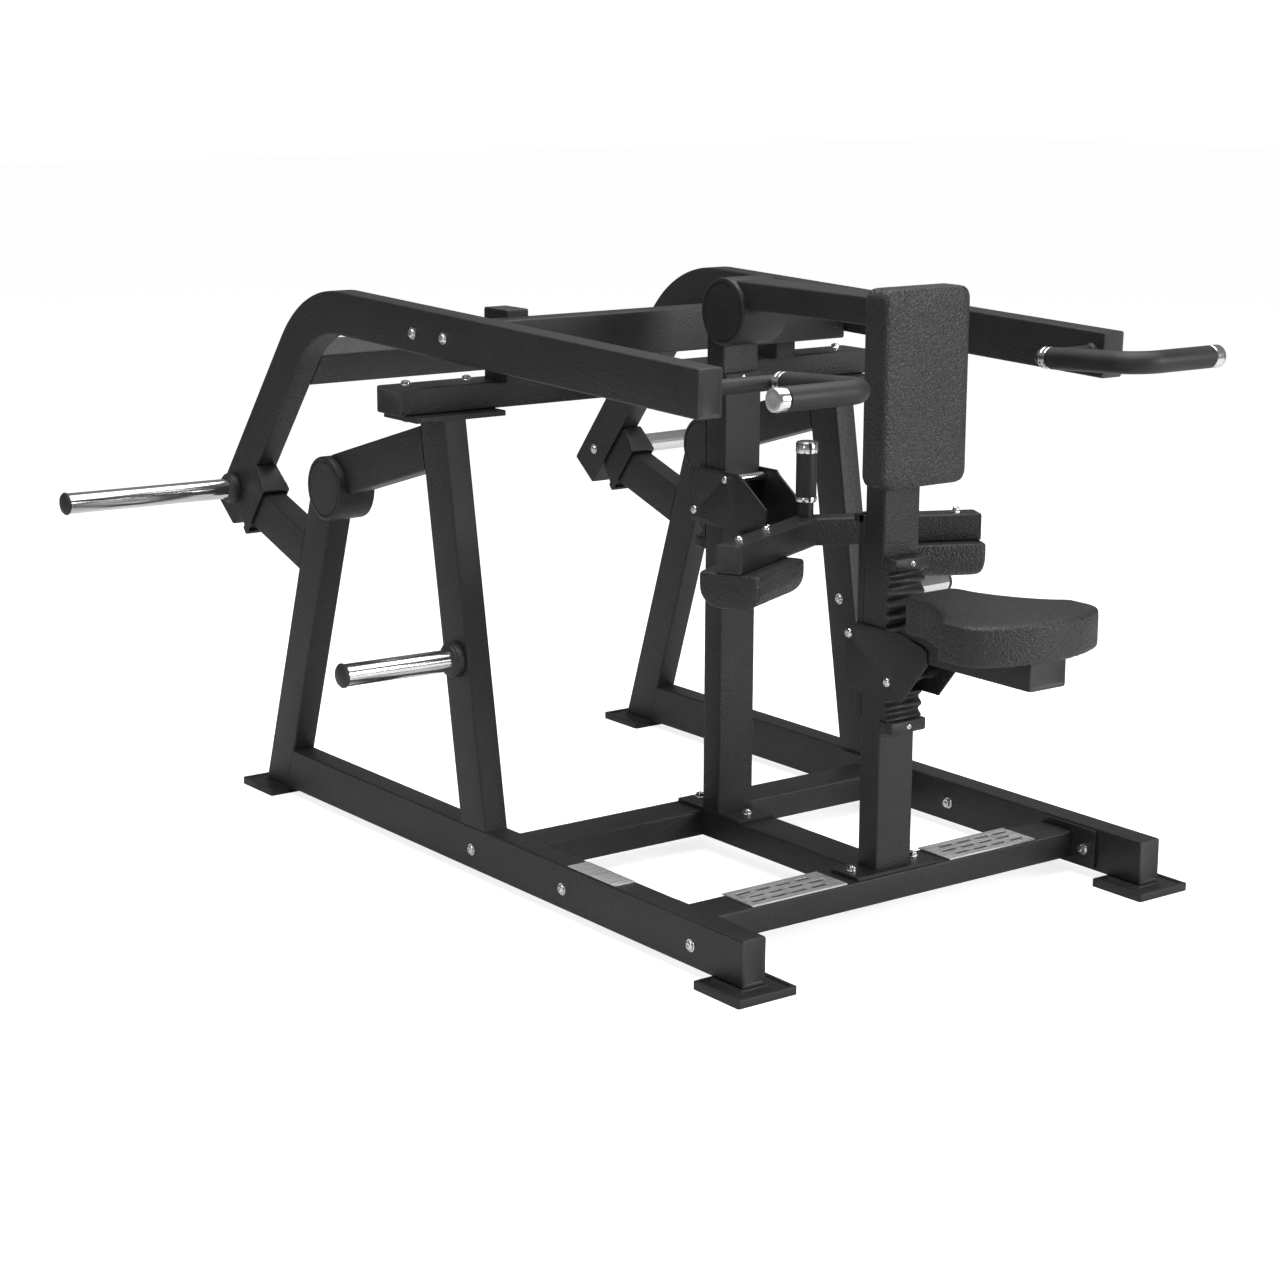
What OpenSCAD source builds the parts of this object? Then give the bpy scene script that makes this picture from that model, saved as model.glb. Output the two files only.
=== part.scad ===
// Plate-loaded seated press-down machine.
// X runs across the machine, Y from the seat end to the plate end, Z up.
// The origin is on the floor, under the centre of the whole machine's bounding box.

/* [Frame] */
// Width over the two base rails
frame_w = 1182; // [1100:1:1260]
// Length of the base rails, front end to the rear leg's foot
rail_len = 1870; // [1800:1:1900]
// Narrow side of the frame tube
tube_w = 60; // [50:1:70]
// Wide side of the frame tube
tube_h = 100; // [90:1:110]
// Wall thickness of every steel tube
wall = 3; // [2:0.5:4]
// Thickness of a rubber foot
foot_t = 18; // [12:1:24]
// Height of the front legs' upper ends
leg_top_z = 1017; // [1000:1:1030]
// Diameter of the round joint bosses
joint_d = 152; // [144:1:156]

/* [Lever] */
// Width over the two lever arms
lever_w = 1168; // [1150:1:1172]
// Distance of the pivot behind the rails' front ends
pivot_y = 1133; // [1125:1:1140]
// Height of the pivot
pivot_z = 1197; // [1193:1:1201]
// Upward slope of the arms towards the rear, in degrees
arm_slope = 1.7; // [1:0.1:2]
// Slope of the arms' lower legs, in degrees below level
leg_slope = 51.5; // [50:0.5:52]
// Bend radius of the arms on the centre line
arm_bend_r = 280; // [260:1:300]
// Distance of the arms' front ends behind the rails' front ends
arm_front_y = 166; // [160:1:180]
// Pivot axle diameter
axle_d = 30; // [25:1:34]
// Radial running clearance on the pivot axle
axle_gap = 0.05; // [0.02:0.01:0.1]

/* [Plates] */
// Diameter of the plate horns
horn_d = 50; // [48:0.5:50.5]
// Reach of a plate horn from the arm's face
horn_len = 464; // [400:1:480]
// Reach of a storage horn from the leg's face
storage_len = 301; // [280:1:340]
// Upward tilt of every horn, in degrees
horn_tilt = 0.7; // [0.3:0.1:2]

/* [Pads] */
// Chest pad width
chest_w = 236; // [220:1:250]
// Chest pad height
chest_h = 412; // [390:1:430]
// Thickness of the chest pad
chest_t = 67; // [55:1:75]
// Width of the seat pad's wide front part
seat_w = 370; // [350:1:390]
// Width of the seat pad's narrow rear part
seat_neck_w = 150; // [130:1:180]
// Thickness of the seat pad
seat_t = 82; // [70:1:90]
// Half width of a thigh pad
thigh_r = 71; // [65:1:74]
// Length of a thigh pad
thigh_len = 238; // [200:1:245]

/* [Handles] */
// Diameter of the handle tube
bar_d = 32; // [28:1:34]
// Outside diameter of the rubber grips
grip_d = 48; // [44:1:50]

/* [Hidden] */
$fn = 64;

// Distances in Y below are measured from the rails' front ends; this puts them in the part's frame
origin_y = -947.4;
big = 4000;

powder = [0.055, 0.055, 0.058];
leather = [0.06, 0.06, 0.062];
rubber = [0.03, 0.03, 0.03];
bright = [0.78, 0.78, 0.8];

rail_x = frame_w / 2;
rail_z = foot_t;
rail_top = rail_z + tube_h;
leg_x = rail_x - tube_w / 2;
arm_x = lever_w / 2;
arm_cx = arm_x - tube_w / 2;

// Cross members lie flat between the rails, a little above the rails' undersides
cross_z = rail_z + 20;
cross_top = cross_z + tube_w;
cross_flange_t = 8;
front_cross_y = 200;
rear_cross_y = 819;
rail_bolt_y = [165, 614, 966];
rail_bolt_z = rail_z + 46;
bolt_r = 6;
hole_gap = 0.3;

// Rear legs lean forward, front legs lean back
rear_leg_y = 1850;
rear_leg_z = foot_t;
rear_leg_lean = 18.2;
side_joint_y = 1559;
side_joint_z = 801;
front_leg_y = 943;
front_leg_lean = 9.56;
leg_plate_t = 12;
leg_plate_w = 234;
leg_plate_x = 543;
leg_plate_y = 1060;
top_beam_z = leg_top_z + leg_plate_t;
top_beam_y = 1100;
top_beam_x = 676;
top_bolt_dx = 80;
top_bolt_y = 1165;

// Brace from the side joint up to the front leg
brace_rise = 16.4;
brace_end_y = 1100;

// Stop arm: square to the rear leg, 618 up it; the buffer sits square to the lever's lower leg
stop_up = 627;
buffer_at = 413;
buffer_face = [60, 71, -77];
buffer_back = [76, 59, -97];
buffer_depth = 78;
buffer_solid = 30;
buffer_gap = 0.4;

post_size = [60, 93, 160];
post_x = 387;
post_y = 1070;
pivot_beam_z = 1134;
pivot_beam_half = 518;

center_y = 761;
center_plate_y = 796;
center_bolt_y = 806;
seat_post_y = 219;
base_plate_t = 8;
post_base = cross_top + base_plate_t;
center_joint_y = 752;
center_joint_z = 1252;
joint_half_side = 48;
joint_half_center = 62;
center_joint_d = 150;
spine_top_z = 1262;

rack_depth = 22;
rack_pitch = 27;
rack_block = 37;
rack_step = 28;
seat_rack_z = [438, 762];
thigh_rack_z = [738, 1062];
seat_strip_t = 20;
seat_strip_z = [430, 868];
thigh_strip_t = 10;
thigh_strip_z = [760, 1115];
pin_r = 7;
pin_gap = 0.5;
roller_gap = 0.4;
plate_t = 5;
plate_x = tube_h / 2 + 3;

seat_beam_z = 584;
seat_beam_y = [-219, 160];
seat_pad_y = [-205, 137];
seat_bulge_r = 318;
seat_pin_z = 526;
seat_roller_r = 13.6;
seat_roller_z = 610;

thigh_bar_z = 763;
thigh_apex_y = 492;
thigh_sweep = 25.3;
thigh_bar_len = 388;
thigh_pad_at = 153;
thigh_pad_h = 76;
thigh_pad_edge = 45;
thigh_nut_at = [206, 338];
thigh_pin_z = 798;
thigh_roller_r = 10;
thigh_roller_z = 880;
hand_grip_y = 530;

handle_y = 205;
handle_z = 1177;
handle_in_x = 365;
handle_front = 290;
handle_out = 240;
handle_tilt = 3;
elbow_r = 20;
corner_r = 60;
collar_len = 22;

horn_at = 478;
collar_t = 24;
cap_t = 14;
bearing_r = 31;

// Lever arm centre line: straight, bend, straight down to the plate horn
arm_front_z = 1173;
arm_straight = 1356;
arm_lower = 557;
arm_turn = arm_slope + leg_slope;
bend_start = [arm_front_y + arm_straight * cos(arm_slope), arm_front_z + arm_straight * sin(arm_slope)];
bend_center = bend_start + arm_bend_r * [sin(arm_slope), -cos(arm_slope)];
bend_end = bend_center + arm_bend_r * [sin(leg_slope), cos(leg_slope)];
function on_lower(t) = bend_end + t * [cos(leg_slope), -sin(leg_slope)];

module place() {
    translate([0, origin_y, 0]) children();
}

module both() {
    children();
    mirror([1, 0, 0]) children();
}

// Rectangular tube; lo and hi are the end walls along the hollow axis, 0 where the end is open
module hollow_bar(size, axis, lo = 0, hi = 0) {
    low = [for (i = [0:2]) i == axis ? (lo > 0 ? lo : -1) : wall];
    high = [for (i = [0:2]) i == axis ? (hi > 0 ? hi : -1) : wall];
    difference() {
        cube(size);
        translate(low) cube(size - low - high);
    }
}

// Round bar along X, from x0 to x1
module rod_x(x0, x1, r) {
    translate([x0, 0, 0]) rotate([0, 90, 0]) cylinder(h = x1 - x0, r = r);
}

// Side-view outline in Y and Z, extruded across X from x0 to x1
module side_extrude(x0, x1) {
    translate([x0, 0, 0]) rotate([90, 0, 90]) linear_extrude(x1 - x0) children();
}

// Square with rounded corners, drawn from its lower-left corner
module rounded_rect(size, r) {
    translate([r, 0]) square([size[0] - 2 * r, size[1]]);
    translate([0, r]) square([size[0], size[1] - 2 * r]);
    for (x = [r, size[0] - r], y = [r, size[1] - r]) translate([x, y]) circle(r);
}

// Button-head screw along -X, its head's underside at the origin
module screw_x(len, head_r = 11) {
    rod_x(0, 2, head_r + 3);
    rod_x(2, 9, head_r);
    rod_x(-len, 0, bolt_r);
}

// Upright hex bolt, the head's underside at the origin
module bolt_z(len) {
    cylinder(h = 2, r = 13);
    translate([0, 0, 2]) cylinder(h = 8, r = 10.5, $fn = 6);
    translate([0, 0, -len]) cylinder(h = len, r = bolt_r);
}

// ---- Base frame ----

module rear_leg_frame() {
    translate([-leg_x, rear_leg_y, rear_leg_z]) rotate([rear_leg_lean, 0, 0]) children();
}

module rear_leg_bar(extra = 0) {
    rear_leg_frame() translate([-tube_w / 2, -tube_h / 2, -60]) cube([tube_w, tube_h + extra, 960]);
}

module side_joint_rod(gap = 0) {
    translate([-leg_x, side_joint_y, side_joint_z]) rod_x(-big / 2, big / 2, joint_d / 2 + gap);
}

module front_leg_frame() {
    translate([-leg_x, front_leg_y, rail_z]) rotate([-front_leg_lean, 0, 0]) children();
}

module front_leg_bar() {
    front_leg_frame() translate([-tube_w / 2, -tube_h / 2, 0]) cube([tube_w, tube_h, 1200]);
}

module rail() {
    difference() {
        translate([-rail_x, 0, rail_z]) hollow_bar([tube_w, rail_len, tube_h], 1, wall, 0);
        rear_leg_bar(400);
        for (y = rail_bolt_y) translate([-rail_x, y, rail_bolt_z]) rod_x(-1, tube_w + 1, bolt_r + hole_gap);
    }
}

module rail_left() {
    color(powder) place() rail();
}

module rail_right() {
    color(powder) place() mirror([1, 0, 0]) rail();
}

// Flange that bolts a cross member to the left rail
module cross_flange(y0, y1, bolt_y) {
    difference() {
        translate([-rail_x + tube_w, y0, rail_z + 5]) cube([cross_flange_t, y1 - y0, tube_h - 10]);
        translate([-rail_x + tube_w, bolt_y, rail_bolt_z]) rod_x(-1, cross_flange_t + 1, bolt_r + hole_gap);
    }
}

module cross_member(y) {
    half = rail_x - tube_w - cross_flange_t;
    translate([-half, y, cross_z]) hollow_bar([2 * half, tube_h, tube_w], 0);
}

module front_cross_member() {
    color(powder) place() cross_member(front_cross_y);
}

module rear_cross_member() {
    color(powder) place() cross_member(rear_cross_y);
}

module cross_flanges() {
    color(powder) place() both() {
        cross_flange(130, 304, rail_bolt_y[0]);
        cross_flange(815, 1000, rail_bolt_y[2]);
    }
}

module base_spine() {
    start = front_cross_y + tube_h;
    color(powder) place()
        translate([-tube_h / 2, start, cross_z]) hollow_bar([tube_h, rear_cross_y - start, tube_w], 1);
}

// Rubber foot with a raised rim round a shallow tray
module foot(y, bearing_y0, bearing_y1) {
    size = [149, 146];
    x = -rail_x - 45;
    difference() {
        translate([x, y, 0]) linear_extrude(foot_t) rounded_rect(size, 5);
        difference() {
            translate([x + 9, y + 9, foot_t - 4]) cube([size[0] - 18, size[1] - 18, 5]);
            translate([-rail_x - 4, bearing_y0, 0]) cube([tube_w + 8, bearing_y1 - bearing_y0, foot_t]);
        }
    }
}

module feet() {
    color(rubber) place() both() {
        foot(-46, -4, 200);
        foot(1800, 1700, 1906);
    }
}

module rear_leg() {
    difference() {
        intersection() {
            rear_leg_frame() translate([-tube_w / 2, -tube_h / 2, -60]) hollow_bar([tube_w, tube_h, 960], 2);
            translate([-big / 2, 0, rear_leg_z]) cube([big, big, side_joint_z - rear_leg_z]);
        }
        side_joint_rod();
    }
}

module rear_leg_left() {
    color(powder) place() rear_leg();
}

module rear_leg_right() {
    color(powder) place() mirror([1, 0, 0]) rear_leg();
}

module front_leg() {
    storage_z = storage_point()[1];
    difference() {
        union() {
            intersection() {
                front_leg_frame() translate([-tube_w / 2, -tube_h / 2, 0]) hollow_bar([tube_w, tube_h, 1200], 2);
                translate([-big / 2, 0, rail_top]) cube([big, big, leg_top_z - rail_top]);
            }
            translate([-leg_plate_x - leg_plate_w / 2, leg_plate_y, leg_top_z])
                cube([leg_plate_w, top_beam_y + tube_h - leg_plate_y, leg_plate_t]);
        }
        for (s = [-1, 1]) translate([-leg_plate_x + s * top_bolt_dx, top_bolt_y, leg_top_z - 1])
            cylinder(h = leg_plate_t + 2, r = bolt_r + hole_gap);
        translate([-rail_x, storage_point()[0], storage_z]) rod_x(-1, tube_w + 1, bolt_r + hole_gap);
    }
}

module front_leg_left() {
    color(powder) place() front_leg();
}

module front_leg_right() {
    color(powder) place() mirror([1, 0, 0]) front_leg();
}

// Hollow round boss along X with a grooved cap on each end and a vent hole below
module joint_boss(half, d) {
    r = d / 2;
    difference() {
        rod_x(-half, half, r);
        rod_x(-half + 6, half - 6, r - 6);
        for (s = [-1, 1]) translate([s * half, 0, 0]) difference() {
            rod_x(-1.5, 1.5, r - 10);
            rod_x(-2, 2, r - 13);
        }
        translate([0, 0, -r - 1]) cylinder(h = 20, r = 4);
    }
}

module side_joints() {
    color(powder) place() both() translate([-leg_x, side_joint_y, side_joint_z]) joint_boss(joint_half_side, joint_d);
}

module braces() {
    drop = (side_joint_y - brace_end_y) * tan(brace_rise);
    top_z = side_joint_z + joint_d / 2 + 3;
    color(powder) place() both() difference() {
        translate([-rail_x, side_joint_y, top_z]) rotate([-brace_rise, 0, 0])
            translate([0, -520, -tube_h]) hollow_bar([tube_w, 520, tube_h], 1);
        side_joint_rod(0.3);
        front_leg_bar();
        translate([-big / 2, 0, 0]) cube([big, brace_end_y - 25, big]);
        translate([-big / 2, 0, top_z + drop + 10]) cube([big, big, big]);
    }
}

// ---- Stops under the lever's lower legs ----

// Frame on the lever's lower leg at distance t: +Y away from the leg's front face, +Z up the leg
module lower_leg_face(t) {
    p = on_lower(t) - tube_h / 2 * [sin(leg_slope), cos(leg_slope)];
    translate([-arm_cx, p[0], p[1]]) rotate([90 - leg_slope, 0, 0]) rotate([0, 0, 180]) children();
}

// Stop arm's bar, widened by gap, where it is at least the given distance from the lever's leg
module stop_bar(distance, gap, hollow) {
    intersection() {
        rear_leg_frame()
            translate([-tube_w / 2 - gap, tube_h / 2, stop_up - tube_h / 2 - gap]) {
                if (hollow) hollow_bar([tube_w, 320, tube_h], 1);
                if (!hollow) cube([tube_w + 2 * gap, 320, tube_h + 2 * gap]);
            }
        lower_leg_face(buffer_at) translate([-200, distance, -400]) cube([400, 400, 800]);
    }
}

module stop_arms() {
    color(powder) place() both() stop_bar(buffer_gap + buffer_solid, 0, true);
}

// Rubber block that widens from the face the lever rests on to the sleeve round the stop arm
module stop_buffers() {
    face = buffer_face[0] / 2;
    back = buffer_back[0] / 2;
    y = buffer_gap + buffer_depth;
    color(rubber) place() both() difference() {
        lower_leg_face(buffer_at) translate([leg_x - arm_cx, 0, 0]) polyhedron(
            [[-face, buffer_gap, buffer_face[2]], [face, buffer_gap, buffer_face[2]],
                [back, y, buffer_back[2]], [-back, y, buffer_back[2]],
                [-face, buffer_gap, buffer_face[1]], [face, buffer_gap, buffer_face[1]],
                [back, y, buffer_back[1]], [-back, y, buffer_back[1]]],
            [[0, 1, 2, 3], [4, 7, 6, 5], [0, 4, 5, 1], [1, 5, 6, 2], [2, 6, 7, 3], [3, 7, 4, 0]]);
        stop_bar(buffer_gap + buffer_solid - 0.2, 0.3, false);
    }
}

// ---- Top of the frame ----

module top_cross_beam() {
    color(powder) place() difference() {
        translate([-top_beam_x, top_beam_y, top_beam_z])
            hollow_bar([2 * top_beam_x, tube_h, tube_w], 0, wall, wall);
        both() for (s = [-1, 1]) translate([-leg_plate_x + s * top_bolt_dx, top_bolt_y, top_beam_z - 1])
            cylinder(h = tube_w + 2, r = bolt_r + hole_gap);
    }
}

module pivot_posts() {
    x = post_x + post_size[0] / 2;
    color(powder) place() both() difference() {
        translate([-x, post_y, top_beam_z + tube_w]) hollow_bar(post_size, 2, 0, wall);
        translate([-x, pivot_y, pivot_z]) rod_x(-1, post_size[0] + 1, axle_d / 2);
    }
}

module pivot_cross_beam() {
    color(powder) place() difference() {
        translate([-pivot_beam_half, post_y - tube_w, pivot_beam_z])
            hollow_bar([2 * pivot_beam_half, tube_w, tube_h], 0, wall, wall);
        translate([0, post_y - tube_w / 2, pivot_beam_z - 1]) cylinder(h = 10, r = 4);
    }
}

module pivot_axles() {
    outer = post_x + post_size[0] / 2;
    color(bright) place() both() translate([0, pivot_y, pivot_z]) {
        rod_x(-arm_x + wall + 2, -outer + post_size[0] + 12, axle_d / 2);
        rod_x(-arm_x + tube_w + 4, -outer, 21);
        rod_x(-outer + post_size[0], -outer + post_size[0] + 12, 21);
    }
}

module center_joint_rod() {
    translate([0, center_joint_y, center_joint_z]) rod_x(-big / 2, big / 2, center_joint_d / 2);
}

module center_post() {
    color(powder) place() difference() {
        union() {
            difference() {
                translate([-tube_h / 2, center_y, post_base])
                    hollow_bar([tube_h, tube_w, center_joint_z - post_base], 2);
                center_joint_rod();
            }
            translate([-52, center_plate_y - 118, cross_top]) cube([104, 236, base_plate_t]);
        }
        for (s = [-1, 1]) translate([0, center_bolt_y + s * 87, cross_top - 1])
            cylinder(h = base_plate_t + 2, r = bolt_r + hole_gap);
    }
}

module center_joint() {
    color(powder) place() translate([0, center_joint_y, center_joint_z]) joint_boss(joint_half_center, center_joint_d);
}

module top_beam() {
    color(powder) place() difference() {
        translate([-tube_h / 2, seat_post_y, spine_top_z])
            hollow_bar([tube_h, center_joint_y - seat_post_y, tube_w], 1, wall, 0);
        center_joint_rod();
    }
}

module seat_post() {
    color(powder) place() difference() {
        union() {
            translate([-tube_h / 2, seat_post_y, post_base]) hollow_bar([tube_h, tube_w, spine_top_z - post_base], 2);
            translate([-115, seat_post_y - 16, cross_top]) cube([230, 92, base_plate_t]);
        }
        for (s = [-1, 1]) translate([s * 88, seat_post_y + 36, cross_top - 1])
            cylinder(h = base_plate_t + 2, r = bolt_r + hole_gap);
    }
}

module chest_pad() {
    r = 24;
    color(leather) place() translate([-chest_w / 2, seat_post_y, 938]) rotate([90, 0, 0])
        linear_extrude(chest_t) rounded_rect([chest_w, chest_h], r);
}

// Wave-toothed rack: teeth along +Z with a guide block on top and a stop block below
module rack(z0, z1) {
    count = floor((z1 - z0) / rack_pitch);
    tooth = 10.5;
    side_extrude(-tube_h / 2, tube_h / 2) difference() {
        translate([0, z0]) square([rack_depth, z1 - z0]);
        for (i = [0:count - 1]) translate([rack_depth + 1, z0 + (i + 0.5) * rack_pitch]) circle(tooth);
    }
    translate([-tube_h / 2, 0, z1]) cube([tube_h, rack_block, rack_step]);
    translate([-tube_h / 2, 0, z0 - rack_step]) cube([tube_h, rack_block, rack_step]);
}

module seat_rack() {
    color(powder) place() translate([0, seat_post_y, 0]) mirror([0, 1, 0]) rack(seat_rack_z[0], seat_rack_z[1]);
}

module thigh_rack() {
    color(powder) place() translate([0, center_y + tube_w, 0]) rack(thigh_rack_z[0], thigh_rack_z[1]);
}

module seat_glide_strip() {
    y = seat_post_y + tube_w;
    color(rubber) place() {
        translate([-tube_h / 2, y, seat_strip_z[0]])
            cube([tube_h, seat_strip_t, seat_strip_z[1] - seat_strip_z[0]]);
        translate([-tube_h / 2, y, seat_strip_z[1] - 18]) cube([tube_h, seat_strip_t + 16, 18]);
    }
}

module thigh_glide_strip() {
    color(rubber) place() translate([-tube_h / 2, center_y - thigh_strip_t, thigh_strip_z[0]])
        cube([tube_h, thigh_strip_t, thigh_strip_z[1] - thigh_strip_z[0]]);
}

module slot(len, w) {
    translate([-len / 2 + w / 2, -w / 2]) square([len - w, w]);
    for (s = [-1, 1]) translate([s * (len - w) / 2, 0]) circle(w / 2);
}

// Perforated steel tread: rows of long slots, staggered row by row
module tread() {
    size = [257, 102];
    color(bright) translate([-404, front_cross_y - 1, cross_top]) linear_extrude(3) difference() {
        square(size);
        for (row = [0:2], i = [0:3]) translate([43 + i * 54 + (row % 2) * 14 - 7, 24 + row * 27]) slot(42, 11);
    }
}

module foot_treads() {
    place() both() tread();
}

module name_plate() {
    color(bright) place() translate([-leg_x - 27, 427, rail_top]) linear_extrude(1.5) rounded_rect([54, 171], 3);
}

// ---- Horns ----

function storage_point() = [front_leg_y + (490 - rail_z) * tan(front_leg_lean), 490];

// Tilts a horn about its foot and trims it flush with the face it stands on
module on_face() {
    difference() {
        rotate([0, horn_tilt, 0]) children();
        translate([0, -100, -100]) cube([200, 200, 200]);
    }
}

// Horn tube: the full diameter runs from the collar's end to the cap
module horn_rod(reach) {
    difference() {
        union() {
            rod_x(-collar_t, 2, horn_d / 2 - 0.5);
            rod_x(-reach + cap_t, -collar_t, horn_d / 2);
        }
        rod_x(-reach + cap_t - 1, -10, horn_d / 2 - 4);
    }
}

module storage_horns() {
    color(bright) place() both() translate([-rail_x, storage_point()[0], storage_point()[1]])
        on_face() horn_rod(storage_len);
}

// Rubber collar against the frame and a plug in the open end
module horn_fittings(reach, collar_r) {
    difference() {
        union() {
            rod_x(-collar_t, 2, collar_r - 5);
            rod_x(-collar_t + 6, 2, collar_r);
        }
        rod_x(-collar_t - 1, 3, horn_d / 2 - 0.4);
    }
    rod_x(-reach, -reach + 5, horn_d / 2 - 5);
    rod_x(-reach + 5, -reach + cap_t, horn_d / 2 - 0.3);
    rod_x(-reach + cap_t, -reach + cap_t + 20, horn_d / 2 - 4.1);
}

module storage_horn_fittings() {
    color(rubber) place() both() translate([-rail_x, storage_point()[0], storage_point()[1]])
        on_face() horn_fittings(storage_len, 40);
}

// ---- Fasteners on the frame ----

module frame_bolts() {
    color(bright) place() both() {
        for (y = rail_bolt_y) translate([-rail_x, y, rail_bolt_z]) {
            mirror([1, 0, 0]) screw_x(tube_w + cross_flange_t);
            translate([tube_w + (y == rail_bolt_y[1] ? 0 : cross_flange_t), 0, 0]) rotate([0, 90, 0]) {
                cylinder(h = 2, r = 13);
                translate([0, 0, 2]) cylinder(h = 10, r = 10.5, $fn = 6);
            }
        }
        for (s = [-1, 1]) translate([-leg_plate_x + s * top_bolt_dx, top_bolt_y, top_beam_z + tube_w])
            bolt_z(tube_w + leg_plate_t + 12);
        translate([-88, seat_post_y + 36, post_base]) bolt_z(base_plate_t);
        translate([-rail_x + tube_w, storage_point()[0], storage_point()[1]]) screw_x(tube_w);
    }
    color(bright) place() for (s = [-1, 1])
        translate([0, center_bolt_y + s * 87, post_base]) bolt_z(base_plate_t);
}

// ---- Lever ----

// Side outline of an arm whose tube is h deep, its ends drawn back by inset
module arm_outline(h, inset) {
    translate([arm_front_y, arm_front_z]) rotate(arm_slope)
        translate([inset, -h / 2]) square([arm_straight - inset, h]);
    intersection() {
        translate(bend_center) difference() {
            circle(arm_bend_r + h / 2, $fn = 180);
            circle(arm_bend_r - h / 2, $fn = 180);
        }
        polygon([bend_center, bend_center + 600 * [-sin(arm_slope), cos(arm_slope)],
            bend_center + 700 * [sin(arm_turn / 2 - arm_slope), cos(arm_turn / 2 - arm_slope)],
            bend_center + 600 * [sin(leg_slope), cos(leg_slope)]]);
    }
    translate(bend_end) rotate(-leg_slope) translate([0, -h / 2]) square([arm_lower - inset, h]);
}

module arm() {
    horn = on_lower(horn_at);
    difference() {
        side_extrude(-arm_x, -arm_x + tube_w) arm_outline(tube_h, 0);
        side_extrude(-arm_x + wall, -arm_x + tube_w - wall) arm_outline(tube_h - 2 * wall, wall);
        for (s = [-1, 1]) translate([-arm_x, pivot_y + s * 63, pivot_z]) rod_x(-1, tube_w + 1, bolt_r + hole_gap);
        translate([-arm_x + tube_w / 2, pivot_y, pivot_z]) rod_x(0, tube_w, bearing_r);
        translate([-arm_x, horn[0], horn[1]]) rod_x(-1, tube_w + 1, bolt_r + hole_gap);
    }
}

module arm_left() {
    color(powder) place() arm();
}

module arm_right() {
    color(powder) place() mirror([1, 0, 0]) arm();
}

module lever_cross_tube() {
    half = arm_x - tube_w;
    center = on_lower(27);
    color(powder) place() translate([-half, center[0], center[1]]) rotate([90 - leg_slope, 0, 0])
        translate([0, -tube_h / 2, -tube_h / 2]) hollow_bar([2 * half, tube_w, tube_h], 0);
}

module plate_horn() {
    horn = on_lower(horn_at);
    translate([-arm_x, horn[0], horn[1]]) on_face() horn_rod(horn_len);
}

module plate_horn_left() {
    color(bright) place() plate_horn();
}

module plate_horn_right() {
    color(bright) place() mirror([1, 0, 0]) plate_horn();
}

module plate_horn_fittings() {
    horn = on_lower(horn_at);
    color(rubber) place() both() translate([-arm_x, horn[0], horn[1]]) on_face() horn_fittings(horn_len, 38);
}

// A handle runs in its own plane: along X from the arm, a tight elbow, forward, a wide corner, outward
module handle_plane() {
    translate([0, handle_y, handle_z]) rotate([-handle_tilt, 0, 0]) children();
}

module arc_rod(bend_r, r, turn) {
    rotate_extrude(angle = turn, $fn = 96) translate([bend_r, 0]) circle(r);
}

// Round rod along the handle's forward leg and outward leg; start and stop trim its two ends
module grip_path(r, start, stop) {
    translate([-handle_in_x, -start, 0]) rotate([90, 0, 0])
        cylinder(h = handle_front - corner_r - start, r = r);
    translate([-handle_in_x - corner_r, -handle_front + corner_r, 0]) rotate([0, 0, -90])
        arc_rod(corner_r, r, 90);
    translate([-handle_in_x, -handle_front, 0]) rod_x(-handle_out + stop, -corner_r, r);
}

module handle_bar() {
    handle_plane() {
        rod_x(-arm_x + tube_w, -handle_in_x - elbow_r, bar_d / 2);
        translate([-handle_in_x - elbow_r, -elbow_r, 0]) arc_rod(elbow_r, bar_d / 2, 90);
        grip_path(bar_d / 2, elbow_r, 4);
    }
}

module handle_bar_left() {
    color(powder) place() handle_bar();
}

module handle_bar_right() {
    color(powder) place() mirror([1, 0, 0]) handle_bar();
}

module grip() {
    handle_plane() difference() {
        grip_path(grip_d / 2, elbow_r + collar_len, collar_len + 4);
        grip_path(bar_d / 2 + 0.1, elbow_r, 1);
    }
}

module grip_left() {
    color(rubber) place() grip();
}

module grip_right() {
    color(rubber) place() mirror([1, 0, 0]) grip();
}

module grip_collars() {
    r = grip_d / 2 + 1.5;
    color(bright) place() both() handle_plane() {
        translate([-handle_in_x, -elbow_r, 0]) rotate([90, 0, 0]) difference() {
            cylinder(h = collar_len, r = r);
            translate([0, 0, -1]) cylinder(h = collar_len + 2, r = bar_d / 2 + 0.1);
        }
        translate([-handle_in_x, -handle_front, 0]) difference() {
            rod_x(-handle_out, -handle_out + collar_len + 4, r);
            rod_x(-handle_out + 3.9, -handle_out + collar_len + 5, bar_d / 2 + 0.1);
        }
    }
}

// Bearing set into each arm's inner wall
module pivot_bearings() {
    color(rubber) place() both() translate([0, pivot_y, pivot_z]) difference() {
        rod_x(-arm_x + wall, -arm_x + tube_w, bearing_r);
        rod_x(-arm_x, -arm_x + tube_w + 1, axle_d / 2 + axle_gap);
    }
}

module lever_bolts() {
    horn = on_lower(horn_at);
    color(bright) place() both() {
        for (s = [-1, 1]) translate([-arm_x, pivot_y + s * 63, pivot_z])
            mirror([1, 0, 0]) screw_x(tube_w);
        translate([-arm_x + tube_w, horn[0], horn[1]]) screw_x(tube_w);
    }
}

// ---- Seat carriage ----

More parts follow.
